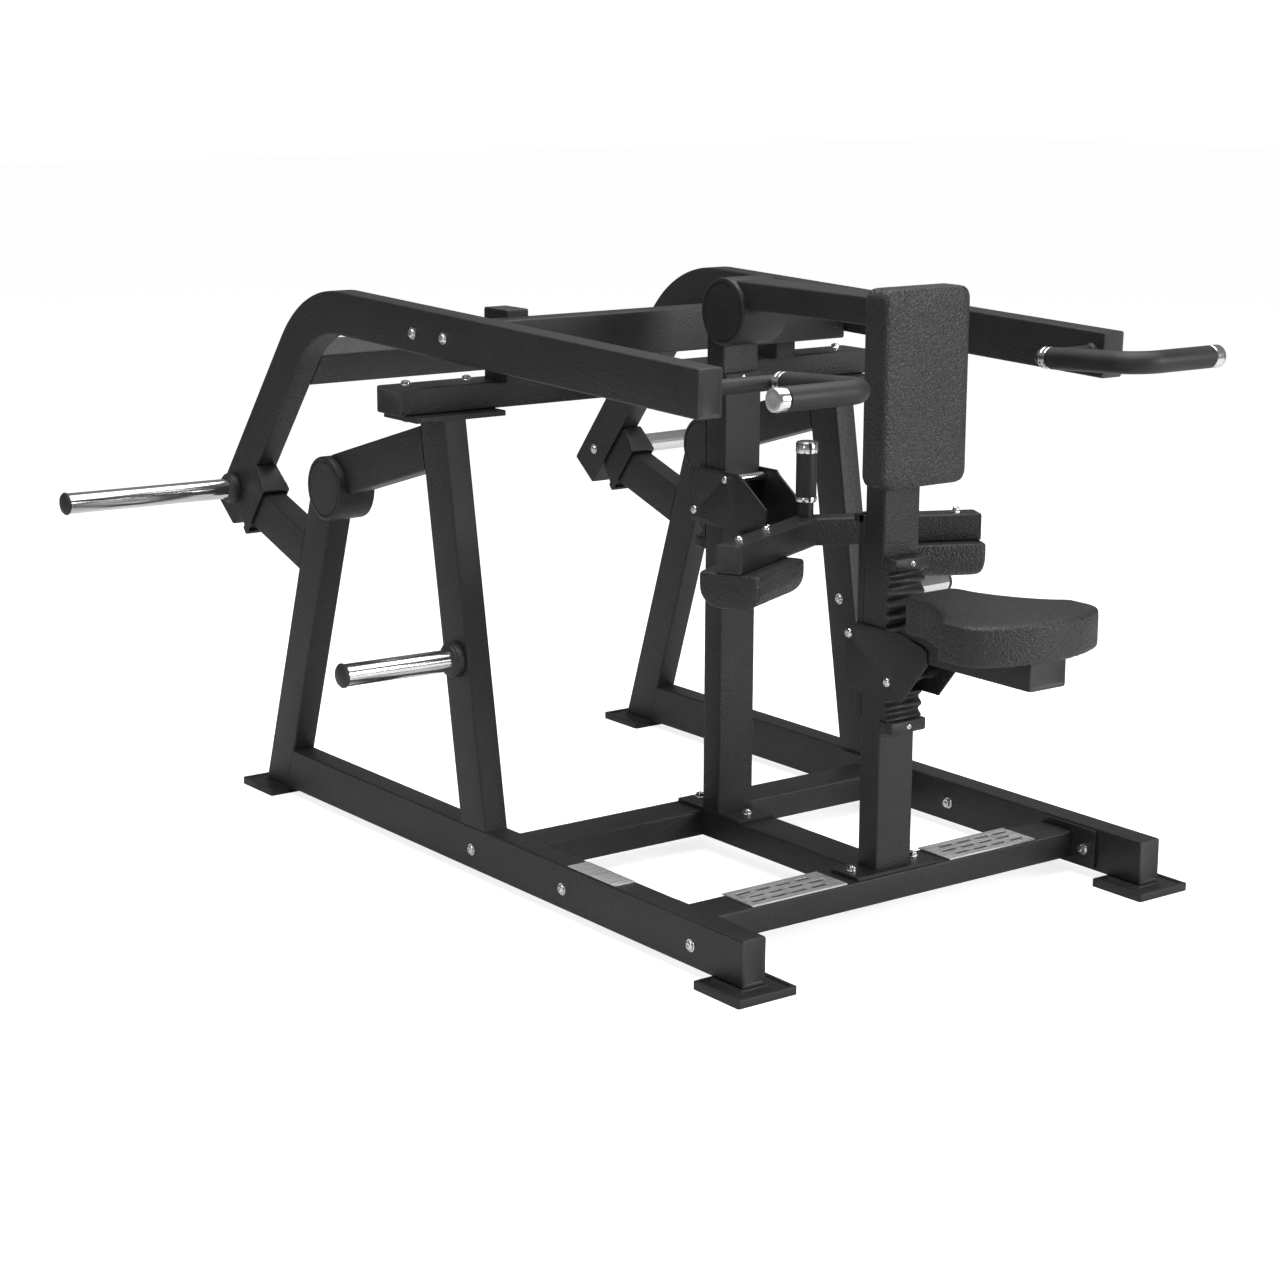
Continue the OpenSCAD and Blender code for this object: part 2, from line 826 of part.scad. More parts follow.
// Side plate: its front part is set in to meet the beam
module carriage_plate(bend_y, front_y, rear_y) {
    intersection() {
        side_extrude(0, 80) children();
        translate([0, 0, -big / 2]) linear_extrude(big) polygon([
            [plate_x, rear_y + 1], [plate_x, bend_y], [tube_h / 2, bend_y - 14], [tube_h / 2, front_y - 1],
            [tube_h / 2 + plate_t, front_y - 1], [tube_h / 2 + plate_t, bend_y - 14],
            [plate_x + plate_t, bend_y], [plate_x + plate_t, rear_y + 1]]);
    }
}

seat_pin_y = seat_post_y - rack_depth - pin_gap - pin_r;
seat_roller_y = seat_post_y + tube_w + seat_strip_t + roller_gap + seat_roller_r;

module seat_side_plates() {
    color(powder) place() both() difference() {
        mirror([1, 0, 0]) carriage_plate(160, 74, 325)
            polygon([[325, 502], [325, 624], [313, 636], [158, 636], [90, 620], [75, 613],
                [75, 582], [150, 490], [313, 490]]);
        translate([0, seat_pin_y, seat_pin_z]) rod_x(-80, 0, pin_r + 0.1);
        translate([0, seat_roller_y, seat_roller_z]) rod_x(-80, 0, bolt_r + 0.1);
    }
}

// Pin across the two side plates with a head outside each
module cross_pin(r, head_r) {
    rod_x(-plate_x - plate_t, plate_x + plate_t, r);
    both() rod_x(-plate_x - plate_t - 7, -plate_x - plate_t, head_r);
}

// Roller between the side plates
module roller(r) {
    difference() {
        rod_x(-plate_x + 0.5, plate_x - 0.5, r);
        rod_x(-plate_x, plate_x, bolt_r + 0.05);
    }
}

module seat_lock_pin() {
    color(bright) place() {
        translate([0, seat_pin_y, seat_pin_z]) cross_pin(pin_r, 10);
        translate([0, seat_roller_y, seat_roller_z]) cross_pin(bolt_r, 11);
    }
}

module seat_roller() {
    color(bright) place() translate([0, seat_roller_y, seat_roller_z]) roller(seat_roller_r);
}

module seat_beam() {
    color(powder) place() translate([-tube_h / 2, seat_beam_y[0], seat_beam_z])
        hollow_bar([tube_h, seat_beam_y[1] - seat_beam_y[0], tube_w], 1, wall, 0);
}

// Seat pad outline: a wide front that narrows through two hollow curves to the neck
module seat_outline() {
    front = seat_pad_y[0];
    rear = seat_pad_y[1];
    r = 40;
    hollow = (seat_w - seat_neck_w) / 2;
    difference() {
        union() {
            translate([-seat_w / 2, front]) rounded_rect([seat_w, 210], r);
            intersection() {
                translate([0, 78]) circle(seat_bulge_r, $fn = 180);
                translate([-seat_w / 2 + r, front - 40]) square([seat_w - 2 * r, 80]);
            }
            translate([-seat_neck_w / 2, front + 60]) rounded_rect([seat_neck_w, rear - front - 60], 26);
            translate([-seat_w / 2 + 30, front + 100]) square([seat_w - 60, 140]);
        }
        for (s = [-1, 1]) translate([s * (seat_neck_w / 2 + hollow), front + 155 + hollow]) circle(hollow, $fn = 96);
    }
}

module seat_pad() {
    color(leather) place() translate([0, 0, seat_beam_z + tube_w]) linear_extrude(seat_t) seat_outline();
}

// ---- Thigh carriage ----

thigh_pin_y = center_y + tube_w + rack_depth + pin_gap + pin_r;
thigh_roller_y = center_y - thigh_strip_t - roller_gap - thigh_roller_r;

module thigh_side_plates() {
    color(powder) place() both() difference() {
        mirror([1, 0, 0]) carriage_plate(698, 599, 868)
            polygon([[868, 783], [868, 890], [860, 898], [698, 898], [600, 832], [600, 770], [698, 770], [856, 771]]);
        translate([0, thigh_pin_y, thigh_pin_z]) rod_x(-80, 0, pin_r + 0.1);
        translate([0, thigh_roller_y, thigh_roller_z]) rod_x(-80, 0, bolt_r + 0.1);
    }
}

module thigh_lock_pin() {
    color(bright) place() {
        translate([0, thigh_pin_y, thigh_pin_z]) cross_pin(pin_r, 10);
        translate([0, thigh_roller_y, thigh_roller_z]) cross_pin(bolt_r, 9);
    }
}

module thigh_roller() {
    color(bright) place() translate([0, thigh_roller_y, thigh_roller_z]) roller(thigh_roller_r);
}

// Frame along the left wing of the thigh bar: +X outwards from the apex, Y = 0 on the bar's centre line
module wing_frame() {
    translate([0, thigh_apex_y + tube_w / 2 / cos(thigh_sweep), thigh_bar_z])
        rotate([0, 0, 180 + thigh_sweep]) children();
}

// Flat plate that joins the bar's two wings under the side plates
module thigh_web() {
    rear = thigh_apex_y + tube_w / cos(thigh_sweep);
    drop = 100 * tan(thigh_sweep);
    color(powder) place() translate([0, 0, thigh_bar_z]) linear_extrude(7)
        polygon([[0, rear], [-100, rear - drop], [-100, 640], [-58, 692], [58, 692], [100, 640], [100, rear - drop]]);
}

module thigh_bar() {
    color(powder) place() both() difference() {
        intersection() {
            wing_frame() translate([-60, -tube_w / 2, 0])
                hollow_bar([thigh_bar_len + 60, tube_w, tube_w], 0, 0, wall);
            translate([-big, 0, 0]) cube([big, big, big]);
        }
        for (t = thigh_nut_at) wing_frame() translate([t, 0, -1]) cylinder(h = tube_w + 2, r = 4.3);
    }
}

module thigh_pad() {
    wing_frame() translate([thigh_pad_at, 0, 0]) rotate([90, 0, 90]) linear_extrude(thigh_len)
        intersection() {
            translate([-thigh_r, -thigh_pad_h]) rounded_rect([2 * thigh_r, thigh_pad_h + thigh_pad_edge], thigh_pad_edge);
            translate([-thigh_r, -thigh_pad_h]) square([2 * thigh_r, thigh_pad_h]);
        }
}

module thigh_pad_left() {
    color(leather) place() thigh_pad();
}

module thigh_pad_right() {
    color(leather) place() mirror([1, 0, 0]) thigh_pad();
}

module hand_grip() {
    color(rubber) place() translate([0, hand_grip_y, thigh_bar_z + tube_w]) {
        cylinder(h = 160, r = 12);
        cylinder(h = 33, r = 17);
        translate([0, 0, 45]) cylinder(h = 108, r = 22.5);
    }
}

module hand_grip_fittings() {
    color(bright) place() {
        translate([0, hand_grip_y, thigh_bar_z + tube_w]) {
            translate([0, 0, 33]) difference() {
                cylinder(h = 12, r = 24);
                translate([0, 0, -1]) cylinder(h = 14, r = 12.1);
            }
            translate([0, 0, 153]) difference() {
                cylinder(h = 13, r = 24);
                translate([0, 0, -1]) cylinder(h = 8.2, r = 12.1);
            }
        }
        both() for (t = thigh_nut_at) wing_frame() translate([t, 0, 0]) {
            cylinder(h = tube_w, r = 4);
            translate([0, 0, tube_w]) cylinder(h = 5, r = 9, $fn = 6);
            translate([0, 0, tube_w + 5]) intersection() {
                sphere(r = 8);
                translate([-10, -10, 0]) cube(20);
            }
        }
    }
}

rail_left();
rail_right();
front_cross_member();
rear_cross_member();
cross_flanges();
base_spine();
feet();
rear_leg_left();
rear_leg_right();
front_leg_left();
front_leg_right();
side_joints();
braces();
stop_arms();
stop_buffers();
top_cross_beam();
pivot_posts();
pivot_cross_beam();
pivot_axles();
center_post();
center_joint();
top_beam();
seat_post();
chest_pad();
seat_rack();
seat_glide_strip();
thigh_rack();
thigh_glide_strip();
foot_treads();
name_plate();
storage_horns();
storage_horn_fittings();
frame_bolts();
arm_left();
arm_right();
lever_cross_tube();
plate_horn_left();
plate_horn_right();
plate_horn_fittings();
handle_bar_left();
handle_bar_right();
grip_left();
grip_right();
grip_collars();
pivot_bearings();
lever_bolts();
seat_side_plates();
seat_lock_pin();
seat_beam();
seat_pad();
seat_roller();
thigh_side_plates();
thigh_lock_pin();
thigh_web();
thigh_bar();
thigh_pad_left();
thigh_pad_right();
hand_grip();
hand_grip_fittings();
thigh_roller();
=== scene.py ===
import math

import bmesh
import bpy
from mathutils import Matrix, Vector


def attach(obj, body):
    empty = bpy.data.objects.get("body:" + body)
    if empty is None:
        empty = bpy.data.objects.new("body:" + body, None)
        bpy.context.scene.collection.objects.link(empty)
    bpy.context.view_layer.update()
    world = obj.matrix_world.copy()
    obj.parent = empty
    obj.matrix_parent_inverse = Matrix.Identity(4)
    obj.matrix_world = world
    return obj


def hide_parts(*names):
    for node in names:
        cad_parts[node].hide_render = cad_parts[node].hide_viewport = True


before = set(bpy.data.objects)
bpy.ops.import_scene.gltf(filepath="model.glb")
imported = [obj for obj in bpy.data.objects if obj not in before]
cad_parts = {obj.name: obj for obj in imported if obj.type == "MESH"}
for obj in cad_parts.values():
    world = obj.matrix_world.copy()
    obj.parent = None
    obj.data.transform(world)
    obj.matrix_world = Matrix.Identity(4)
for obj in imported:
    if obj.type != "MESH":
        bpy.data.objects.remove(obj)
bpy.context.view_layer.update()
scene = bpy.context.scene

# Lengths below are in millimetres, with Y measured from the rails' front ends, as in the CAD source.
MM = 0.001
ORIGIN_Y = -947.4
X = Vector((1, 0, 0))
Y = Vector((0, 1, 0))
Z = Vector((0, 0, 1))
SIDES = (("left", -1), ("right", 1))


def pt(x, y, z):
    return Vector((x, y + ORIGIN_Y, z)) * MM


def tilted(degrees):
    """Unit vector in the YZ plane, rising by this angle from +Y."""
    a = math.radians(degrees)
    return Vector((0, math.cos(a), math.sin(a)))


# ---- Mesh building ----


def rounded(w, h, r, steps=5):
    """Rounded rectangle about the origin, counter-clockwise."""
    r = max(r, 0.05)
    out = []
    for cx, cy, a0 in (
        (w / 2 - r, h / 2 - r, 0),
        (r - w / 2, h / 2 - r, 90),
        (r - w / 2, r - h / 2, 180),
        (w / 2 - r, r - h / 2, 270),
    ):
        for i in range(steps + 1):
            a = math.radians(a0 + 90 * i / steps)
            out.append((cx + r * math.cos(a), cy + r * math.sin(a)))
    return out


def hex_radius(r, a):
    """Distance from a hexagon's centre to its side at angle a; r is to its corners."""
    third = math.pi / 3
    return r * math.cos(third / 2) / math.cos((a % third) - third / 2)


class Piece:
    """A mesh that gathers lofted and turned shapes, and becomes one object."""

    def __init__(self, name):
        self.name = name
        self.bm = bmesh.new()

    def loft(self, rings, cap0=True, cap1=True, closed=False):
        vs = [[self.bm.verts.new(p) for p in ring] for ring in rings]
        pairs = list(zip(vs, vs[1:]))
        if closed:
            pairs.append((vs[-1], vs[0]))
        n = len(vs[0])
        for a, b in pairs:
            for i in range(n):
                j = (i + 1) % n
                self.bm.faces.new((a[i], a[j], b[j], b[i]))
        if cap0 and not closed:
            self.bm.faces.new(list(reversed(vs[0])))
        if cap1 and not closed:
            self.bm.faces.new(vs[-1])

    def bar(self, start, w, length, u, v, su, sv, r=5, bevel=1.2, cut0=None, cut1=None):
        """Tube of section su x sv with rounded corners, from start along w.
        A cut is a plane (point, normal) that trims an end."""
        rings = []
        for t, inset, cut in (
            (0, bevel, cut0),
            (bevel, 0, None if cut0 is None else "skip"),
            (length - bevel, 0, None if cut1 is None else "skip"),
            (length, bevel, cut1),
        ):
            if cut == "skip":
                continue
            inset = 0 if cut else inset
            ring = []
            for a, b in rounded(su - 2 * inset, sv - 2 * inset, r - inset):
                p = start + (u * a + v * b) * MM
                if cut:
                    d = (cut[0] - p).dot(cut[1]) / w.dot(cut[1])
                    ring.append(p + w * d)
                else:
                    ring.append(p + w * t * MM)
            rings.append(ring)
        self.loft(rings)
        return self

    def turn(self, origin, axis, profile, n=48, closed=False):
        """Turned shape: profile lists (distance along axis, radius) or (distance, corner radius, "hex")."""
        u = axis.orthogonal().normalized()
        if abs(axis.x) > 0.9:
            u = Z.copy()
        v = axis.cross(u)
        rings = []
        for row in profile:
            ring = []
            for i in range(n):
                a = 2 * math.pi * i / n
                r = hex_radius(row[1], a) if len(row) > 2 else row[1]
                ring.append(origin + (axis * row[0] + u * r * math.cos(a) + v * r * math.sin(a)) * MM)
            rings.append(ring)
        self.loft(rings, closed=closed)
        return self

    def sweep(self, path, normal, section, bevel=0.0):
        """section(inset) gives points (across the path in its plane, along normal).
        path lists points in metres."""
        count = len(path)
        rings = []
        for i, p in enumerate(path):
            tangent = (path[min(i + 1, count - 1)] - path[max(i - 1, 0)]).normalized()
            side = normal.cross(tangent).normalized()
            insets = (0,)
            if bevel and i == 0:
                insets = (bevel, 0)
            if bevel and i == count - 1:
                insets = (0, bevel)
            for inset in insets:
                shift = 0
                if bevel and i == 0 and inset == 0:
                    shift = bevel * MM
                if bevel and i == count - 1 and inset == 0:
                    shift = -bevel * MM
                rings.append(
                    [p + tangent * shift + (side * a + normal * b) * MM for a, b in section(inset)]
                )
        self.loft(rings)
        return self

    def object(self, material, body, nodes=(), slot=None, angle=38):
        bmesh.ops.recalc_face_normals(self.bm, faces=self.bm.faces)
        mesh = bpy.data.meshes.new(self.name)
        self.bm.to_mesh(mesh)
        self.bm.free()
        return finish_piece(mesh, self.name, material, body, nodes, angle)


def finish_piece(mesh, name, material, body, nodes=(), angle=38):
    obj = bpy.data.objects.new(name, mesh)
    scene.collection.objects.link(obj)
    mesh.shade_smooth()
    mesh.set_sharp_from_angle(angle=math.radians(angle))
    mesh.materials.clear()
    mesh.materials.append(material)
    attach(obj, body)
    if nodes:
        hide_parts(*nodes)
    return obj


def rounded_copy(node, name, material, body, width, segments=2):
    """The CAD node's own shape with its edges rounded."""
    bm = bmesh.new()
    bm.from_mesh(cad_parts[node].data)
    bmesh.ops.remove_doubles(bm, verts=bm.verts, dist=1e-6)
    bmesh.ops.dissolve_limit(bm, angle_limit=0.02, verts=bm.verts, edges=bm.edges)
    sharp = [e for e in bm.edges if e.is_manifold and e.calc_face_angle(0) > 0.6]
    bmesh.ops.bevel(
        bm, geom=sharp, offset=width * MM, segments=segments, profile=0.5, affect="EDGES", clamp_overlap=True
    )
    mesh = bpy.data.meshes.new(name)
    bm.to_mesh(mesh)
    bm.free()
    return finish_piece(mesh, name, material, body, (node,), 30)


# ---- Materials ----


def node_material(name, base, roughness, metallic=0.0):
    mat = bpy.data.materials.new(name)
    mat.use_nodes = True
    nodes = mat.node_tree.nodes
    shader = nodes["Principled BSDF"]
    shader.inputs["Base Color"].default_value = (*base, 1)
    shader.inputs["Roughness"].default_value = roughness
    shader.inputs["Metallic"].default_value = metallic
    return mat, mat.node_tree, shader


def texture(tree, kind, scale, stretch=(1, 1, 1), detail=3.0, rough=0.5):
    coord = tree.nodes.new("ShaderNodeTexCoord")
    mapping = tree.nodes.new("ShaderNodeMapping")
    mapping.inputs["Scale"].default_value = stretch
    tex = tree.nodes.new(kind)
    tex.inputs["Scale"].default_value = scale
    if kind == "ShaderNodeTexNoise":
        tex.inputs["Detail"].default_value = detail
        tex.inputs["Roughness"].default_value = rough
    tree.links.new(coord.outputs["Object"], mapping.inputs["Vector"])
    tree.links.new(mapping.outputs["Vector"], tex.inputs["Vector"])
    return tex


def spread(tree, source, low, high, start=0.3, end=0.7):
    """A ramp from low to high colours or greys over the source."""
    ramp = tree.nodes.new("ShaderNodeValToRGB")
    ramp.color_ramp.elements[0].position = start
    ramp.color_ramp.elements[1].position = end
    ramp.color_ramp.elements[0].color = (*low, 1)
    ramp.color_ramp.elements[1].color = (*high, 1)
    tree.links.new(source, ramp.inputs["Fac"])
    return ramp.outputs["Color"]


def vary(tree, shader, name, source, low, high, start=0.3, end=0.7):
    """Makes the shader's named input run from low to high over the source."""
    tree.links.new(spread(tree, source, low, high, start, end), shader.inputs[name])


def add_bump(tree, shader, height, strength, distance, under=None):
    bump = tree.nodes.new("ShaderNodeBump")
    bump.inputs["Strength"].default_value = strength
    bump.inputs["Distance"].default_value = distance
    tree.links.new(height, bump.inputs["Height"])
    if under:
        tree.links.new(under, bump.inputs["Normal"])
    tree.links.new(bump.outputs["Normal"], shader.inputs["Normal"])
    return bump.outputs["Normal"]


def grey(v):
    return (v, v, v)


def make_powder():
    """Textured powder coat: fine orange peel, with slow changes in tone and gloss."""
    mat, tree, shader = node_material("powder_coat", grey(0.02), 0.42)
    peel = texture(tree, "ShaderNodeTexNoise", 205, detail=3.0)
    slow = texture(tree, "ShaderNodeTexNoise", 5, detail=4.0)
    fine = texture(tree, "ShaderNodeTexNoise", 1100, detail=2.0)
    vary(tree, shader, "Base Color", slow.outputs["Fac"], (0.011, 0.011, 0.0114), (0.018, 0.018, 0.0184))
    vary(tree, shader, "Roughness", fine.outputs["Fac"], grey(0.36), grey(0.5))
    under = add_bump(tree, shader, fine.outputs["Fac"], 0.3, 0.0004)
    add_bump(tree, shader, peel.outputs["Fac"], 0.85, 0.0018, under)
    return mat


def make_satin():
    mat, tree, shader = node_material("satin_plastic", grey(0.05), 0.45)
    fine = texture(tree, "ShaderNodeTexNoise", 900, detail=2.0)
    slow = texture(tree, "ShaderNodeTexNoise", 14, detail=3.0)
    vary(tree, shader, "Base Color", slow.outputs["Fac"], grey(0.022), grey(0.034))
    vary(tree, shader, "Roughness", fine.outputs["Fac"], grey(0.4), grey(0.52))
    add_bump(tree, shader, fine.outputs["Fac"], 0.2, 0.0003)
    return mat


def make_rubber():
    mat, tree, shader = node_material("moulded_rubber", grey(0.02), 0.55)
    fine = texture(tree, "ShaderNodeTexNoise", 700, detail=3.0)
    slow = texture(tree, "ShaderNodeTexNoise", 9, detail=4.0)
    vary(tree, shader, "Base Color", slow.outputs["Fac"], grey(0.010), grey(0.018))
    vary(tree, shader, "Roughness", slow.outputs["Fac"], grey(0.42), grey(0.58))
    add_bump(tree, shader, fine.outputs["Fac"], 0.3, 0.0004)
    return mat


def make_leather():
    """Pebbled synthetic leather: cells with creases between them, over soft unevenness."""
    mat, tree, shader = node_material("pad_leather", grey(0.03), 0.42)
    warp = texture(tree, "ShaderNodeTexNoise", 100, detail=2.0)
    cells = texture(tree, "ShaderNodeTexVoronoi", 215)
    cells.feature = "SMOOTH_F1"
    mix = tree.nodes.new("ShaderNodeVectorMath")
    mix.operation = "MULTIPLY_ADD"
    mix.inputs[1].default_value = (0.006, 0.006, 0.006)
    tree.links.new(warp.outputs["Color"], mix.inputs[0])
    tree.links.new(cells.inputs["Vector"].links[0].from_socket, mix.inputs[2])
    tree.links.new(mix.outputs["Vector"], cells.inputs["Vector"])
    slow = texture(tree, "ShaderNodeTexNoise", 7, detail=3.0)
    vary(tree, shader, "Base Color", slow.outputs["Fac"], (0.017, 0.017, 0.0175), (0.025, 0.025, 0.0255))
    vary(tree, shader, "Roughness", cells.outputs["Distance"], grey(0.34), grey(0.55), 0.1, 0.7)
    under = add_bump(tree, shader, slow.outputs["Fac"], 0.1, 0.002)
    pebbles = spread(tree, cells.outputs["Distance"], grey(1), grey(0), 0.1, 0.75)
    add_bump(tree, shader, pebbles, 0.8, 0.0018, under)
    return mat


def make_chrome():
    mat, tree, shader = node_material("polished_chrome", (0.8, 0.8, 0.81), 0.07, 1.0)
    slow = texture(tree, "ShaderNodeTexNoise", 9, detail=2.0)
    vary(tree, shader, "Roughness", slow.outputs["Fac"], grey(0.12), grey(0.19))
    vary(tree, shader, "Base Color", slow.outputs["Fac"], (0.74, 0.74, 0.75), (0.84, 0.84, 0.85))
    return mat


def make_steel():
    """Brushed along X."""
    mat, tree, shader = node_material("brushed_tread", grey(0.8), 0.3, 0.75)
    brush = texture(tree, "ShaderNodeTexNoise", 260, stretch=(0.03, 1, 1), detail=4.0)
    vary(tree, shader, "Base Color", brush.outputs["Fac"], grey(0.68), grey(0.92))
    vary(tree, shader, "Roughness", brush.outputs["Fac"], grey(0.22), grey(0.42))
    add_bump(tree, shader, brush.outputs["Fac"], 0.2, 0.0002)
    return mat


POWDER = (make_powder(), "powder_black")
SATIN = (make_satin(), "satin_black")
RUBBER = (make_rubber(), "rubber_black")
LEATHER = (make_leather(), "pad_leather")
CHROME = (make_chrome(), "chrome")
STEEL = (make_steel(), "tread_steel")


def make(piece, look, body, *nodes, angle=38):
    return piece.object(look[0], body, nodes, look[1], angle)


# ---- Base frame ----

LEG_X = 561
LEAN = 18.2
REAR_LEG = pt(0, 1850, 18)
REAR_SIDE = tilted(LEAN)
REAR_UP = X.cross(REAR_SIDE)
FRONT_LEAN = 9.56
FRONT_SIDE = tilted(-FRONT_LEAN)
FRONT_UP = X.cross(FRONT_SIDE)
BRACE = tilted(180 - 16.4)
BRACE_SIDE = X.cross(BRACE)
# Points given as (y, z)
SIDE_JOINT = (1559, 801)
PIVOT = (1133, 1197)
SEAT_ROLLER = (313, 610)
THIGH_ROLLER = (740.6, 880)
POST_FACE = 219  # Y of the seat post's front
BOLT_YS = (165, 614, 966)
TOP_BOLTS = (463, 623)


def cap_on(piece, center, w, u, v, su, sv, depth=3.0):
    """Plug in a tube's end: a rim and a slightly sunk panel. w points out of the tube."""
    start = center - w * depth * MM
    rings = []
    steps = (0, 0.4, 5), (depth - 1.2, 0.4, 5), (depth, 1.6, 4), (depth, 7, 3), (depth - 0.8, 8.2, 2)
    for t, inset, r in steps:
        outline = rounded(su - 2 * inset, sv - 2 * inset, r)
        rings.append([start + (u * a + v * b + w * t) * MM for a, b in outline])
    piece.loft(rings)


for side, s in SIDES:
    rail = Piece("visual_rail_" + side)
    front_plane = (REAR_LEG - REAR_SIDE * 49.5 * MM, REAR_SIDE)
    rail.bar(pt(s * LEG_X, 3, 68), Y, 1800, X, Z, 60, 100, cut1=front_plane)
    make(rail, POWDER, "frame", "rail_" + side)

    leg = Piece("visual_rear_leg_" + side)
    base = REAR_LEG + X * s * LEG_X * MM
    leg.bar(base, REAR_UP, 795, X, REAR_SIDE, 60, 100, cut0=(pt(0, 0, 18.2), Z))
    make(leg, POWDER, "frame", "rear_leg_" + side)

    leg = Piece("visual_front_leg_" + side)
    base = pt(s * LEG_X, 943, 18)
    ends = (pt(0, 0, 117.5), Z), (pt(0, 0, 1017.5), Z)
    leg.bar(base, FRONT_UP, 900, X, FRONT_SIDE, 60, 100, cut0=ends[0], cut1=ends[1])
    leg.bar(pt(s * 543, 1130, 1017), Z, 12, X, Y, 234, 140, r=4, bevel=1)
    make(leg, POWDER, "frame", "front_leg_" + side)

caps = Piece("visual_frame_end_caps")
for side, s in SIDES:
    cap_on(caps, pt(s * LEG_X, 0, 68), -Y, X, Z, 60, 100)
    cap_on(caps, pt(s * 676, 1150, 1059), X * s, Y, Z, 100, 60)
    cap_on(caps, pt(s * 518, 1040, 1184), X * s, Y, Z, 60, 100)
    cap_on(caps, pt(s * 387, 1116.5, 1249), Z, X, Y, 60, 93)
make(caps, SATIN, "frame")


for name, y in (("front_cross_member", 200), ("rear_cross_member", 819)):
    piece = Piece("visual_" + name)
    piece.bar(pt(-523, y + 50, 67), X, 1046, Y, Z, 100, 60, bevel=0.5)
    make(piece, POWDER, "frame", name)
flanges = Piece("visual_cross_flanges")
for y0, y1 in ((130, 304), (815, 1000)):
    for _, s in SIDES:
        flanges.bar(pt(s * 523, (y0 + y1) / 2, 68), X * s, 8, Y, Z, y1 - y0, 90, r=8, bevel=1)
make(flanges, POWDER, "frame", "cross_flanges")

spine = Piece("visual_base_spine")
spine.bar(pt(0, 299, 67), Y, 521, X, Z, 100, 60, bevel=0.5)
make(spine, POWDER, "frame", "base_spine")


def boss_profile(half, r):
    """Joint boss: rounded rim, shallow groove ring, and a slightly domed centre."""
    end = [
        (half - 5, r),
        (half - 2, r - 0.8),
        (half - 0.4, r - 3),
        (half, r - 6),
        (half, r - 10),
        (half - 2, r - 10.6),
        (half - 2, r - 12.4),
        (half - 0.4, r - 13),
        (half - 0.2, r * 0.4),
        (half, 4),
    ]
    start = [(-t, q) for t, q in reversed(end)]
    return start + end


joints = Piece("visual_side_joints")
braces = Piece("visual_braces")
stops = Piece("visual_stop_arms")
ARM_DROP = 51.5  # slope of the arms' rear part at rest, in degrees
ARM_DIR = tilted(-ARM_DROP)
ARM_OUT = -X.cross(ARM_DIR)
# Where the arm meets its stop, 413 mm down that slope
BUFFER_AT = pt(0, 1710 + 413 * 0.6225, 1076.5 - 413 * 0.7826)
for _, s in SIDES:
    joints.turn(pt(s * LEG_X, *SIDE_JOINT), X, boss_profile(48, 76), n=72)
    start = pt(s * LEG_X, *SIDE_JOINT) - BRACE_SIDE * 24.8 * MM
    face = (pt(0, 943, 18) + FRONT_SIDE * 49.5 * MM, FRONT_SIDE)
    braces.bar(start + BRACE * 30 * MM, BRACE, 500, X, BRACE_SIDE, 60, 100, cut1=face)
    stop = REAR_LEG + X * s * LEG_X * MM + REAR_UP * 627 * MM + REAR_SIDE * 49.5 * MM
    stops.bar(stop, REAR_SIDE, 300, X, REAR_UP, 60, 100, cut1=(BUFFER_AT + ARM_OUT * 32 * MM, ARM_OUT))
make(joints, POWDER, "frame", "side_joints")
make(braces, POWDER, "frame", "braces")
make(stops, POWDER, "frame", "stop_arms")

# Rubber sleeve over each stop arm, with a lip and a sunk mouth
buffers = Piece("visual_stop_buffers")
for _, s in SIDES:
    origin = BUFFER_AT + X * s * LEG_X * MM

    def sleeve(depth, w, top, bottom, r):
        mid = (top + bottom) / 2
        return [
            origin + (X * a - ARM_DIR * (b + mid) + ARM_OUT * depth) * MM
            for a, b in rounded(w, top - bottom, r, 4)
        ]

    buffers.loft(
        [
            sleeve(0.5, 50, 66, -72, 3),
            sleeve(2, 56, 69, -75, 5),
            sleeve(6, 60, 71, -77, 6),
            sleeve(58, 70, 64, -89, 6),
            sleeve(60, 75, 62, -94, 6),
            sleeve(76, 76, 59, -97, 6),
            sleeve(78, 73, 57, -95, 5),
            sleeve(78, 66, 51, -87, 4),
            sleeve(70, 64, 50, -85, 4),
        ]
    )
make(buffers, RUBBER, "frame", "stop_buffers")

# ---- Top of the frame ----

beam = Piece("visual_top_cross_beam")
beam.bar(pt(-673, 1150, 1059), X, 1346, Y, Z, 100, 60)
make(beam, POWDER, "frame", "top_cross_beam")

posts = Piece("visual_pivot_posts")
for _, s in SIDES:
    posts.bar(pt(s * 387, 1116.5, 1088.5), Z, 157.5, X, Y, 60, 93)
make(posts, POWDER, "frame", "pivot_posts")

beam = Piece("visual_pivot_cross_beam")
beam.bar(pt(-515, 1040, 1184), X, 1030, Y, Z, 60, 100)
make(beam, POWDER, "frame", "pivot_cross_beam")

axles = Piece("visual_pivot_axles")
for _, s in SIDES:
    axles.turn(
        pt(s * 417, *PIVOT),
        X * s,
        [(-1, 20), (0, 21), (101, 21), (103, 19.5), (103, 15), (160, 15), (162, 13)],
    )
    axles.turn(pt(s * 357, *PIVOT), X * -s, [(0, 21), (10, 21), (12, 19), (12, 6), (10, 5)])
make(axles, CHROME, "frame", "pivot_axles")

post = Piece("visual_center_post")
post.bar(pt(0, 791, 104.5), Z, 1110, X, Y, 100, 60, bevel=0.5)
post.bar(pt(0, 796, 97), Z, 8, X, Y, 104, 236, r=6, bevel=1)
make(post, POWDER, "frame", "center_post")

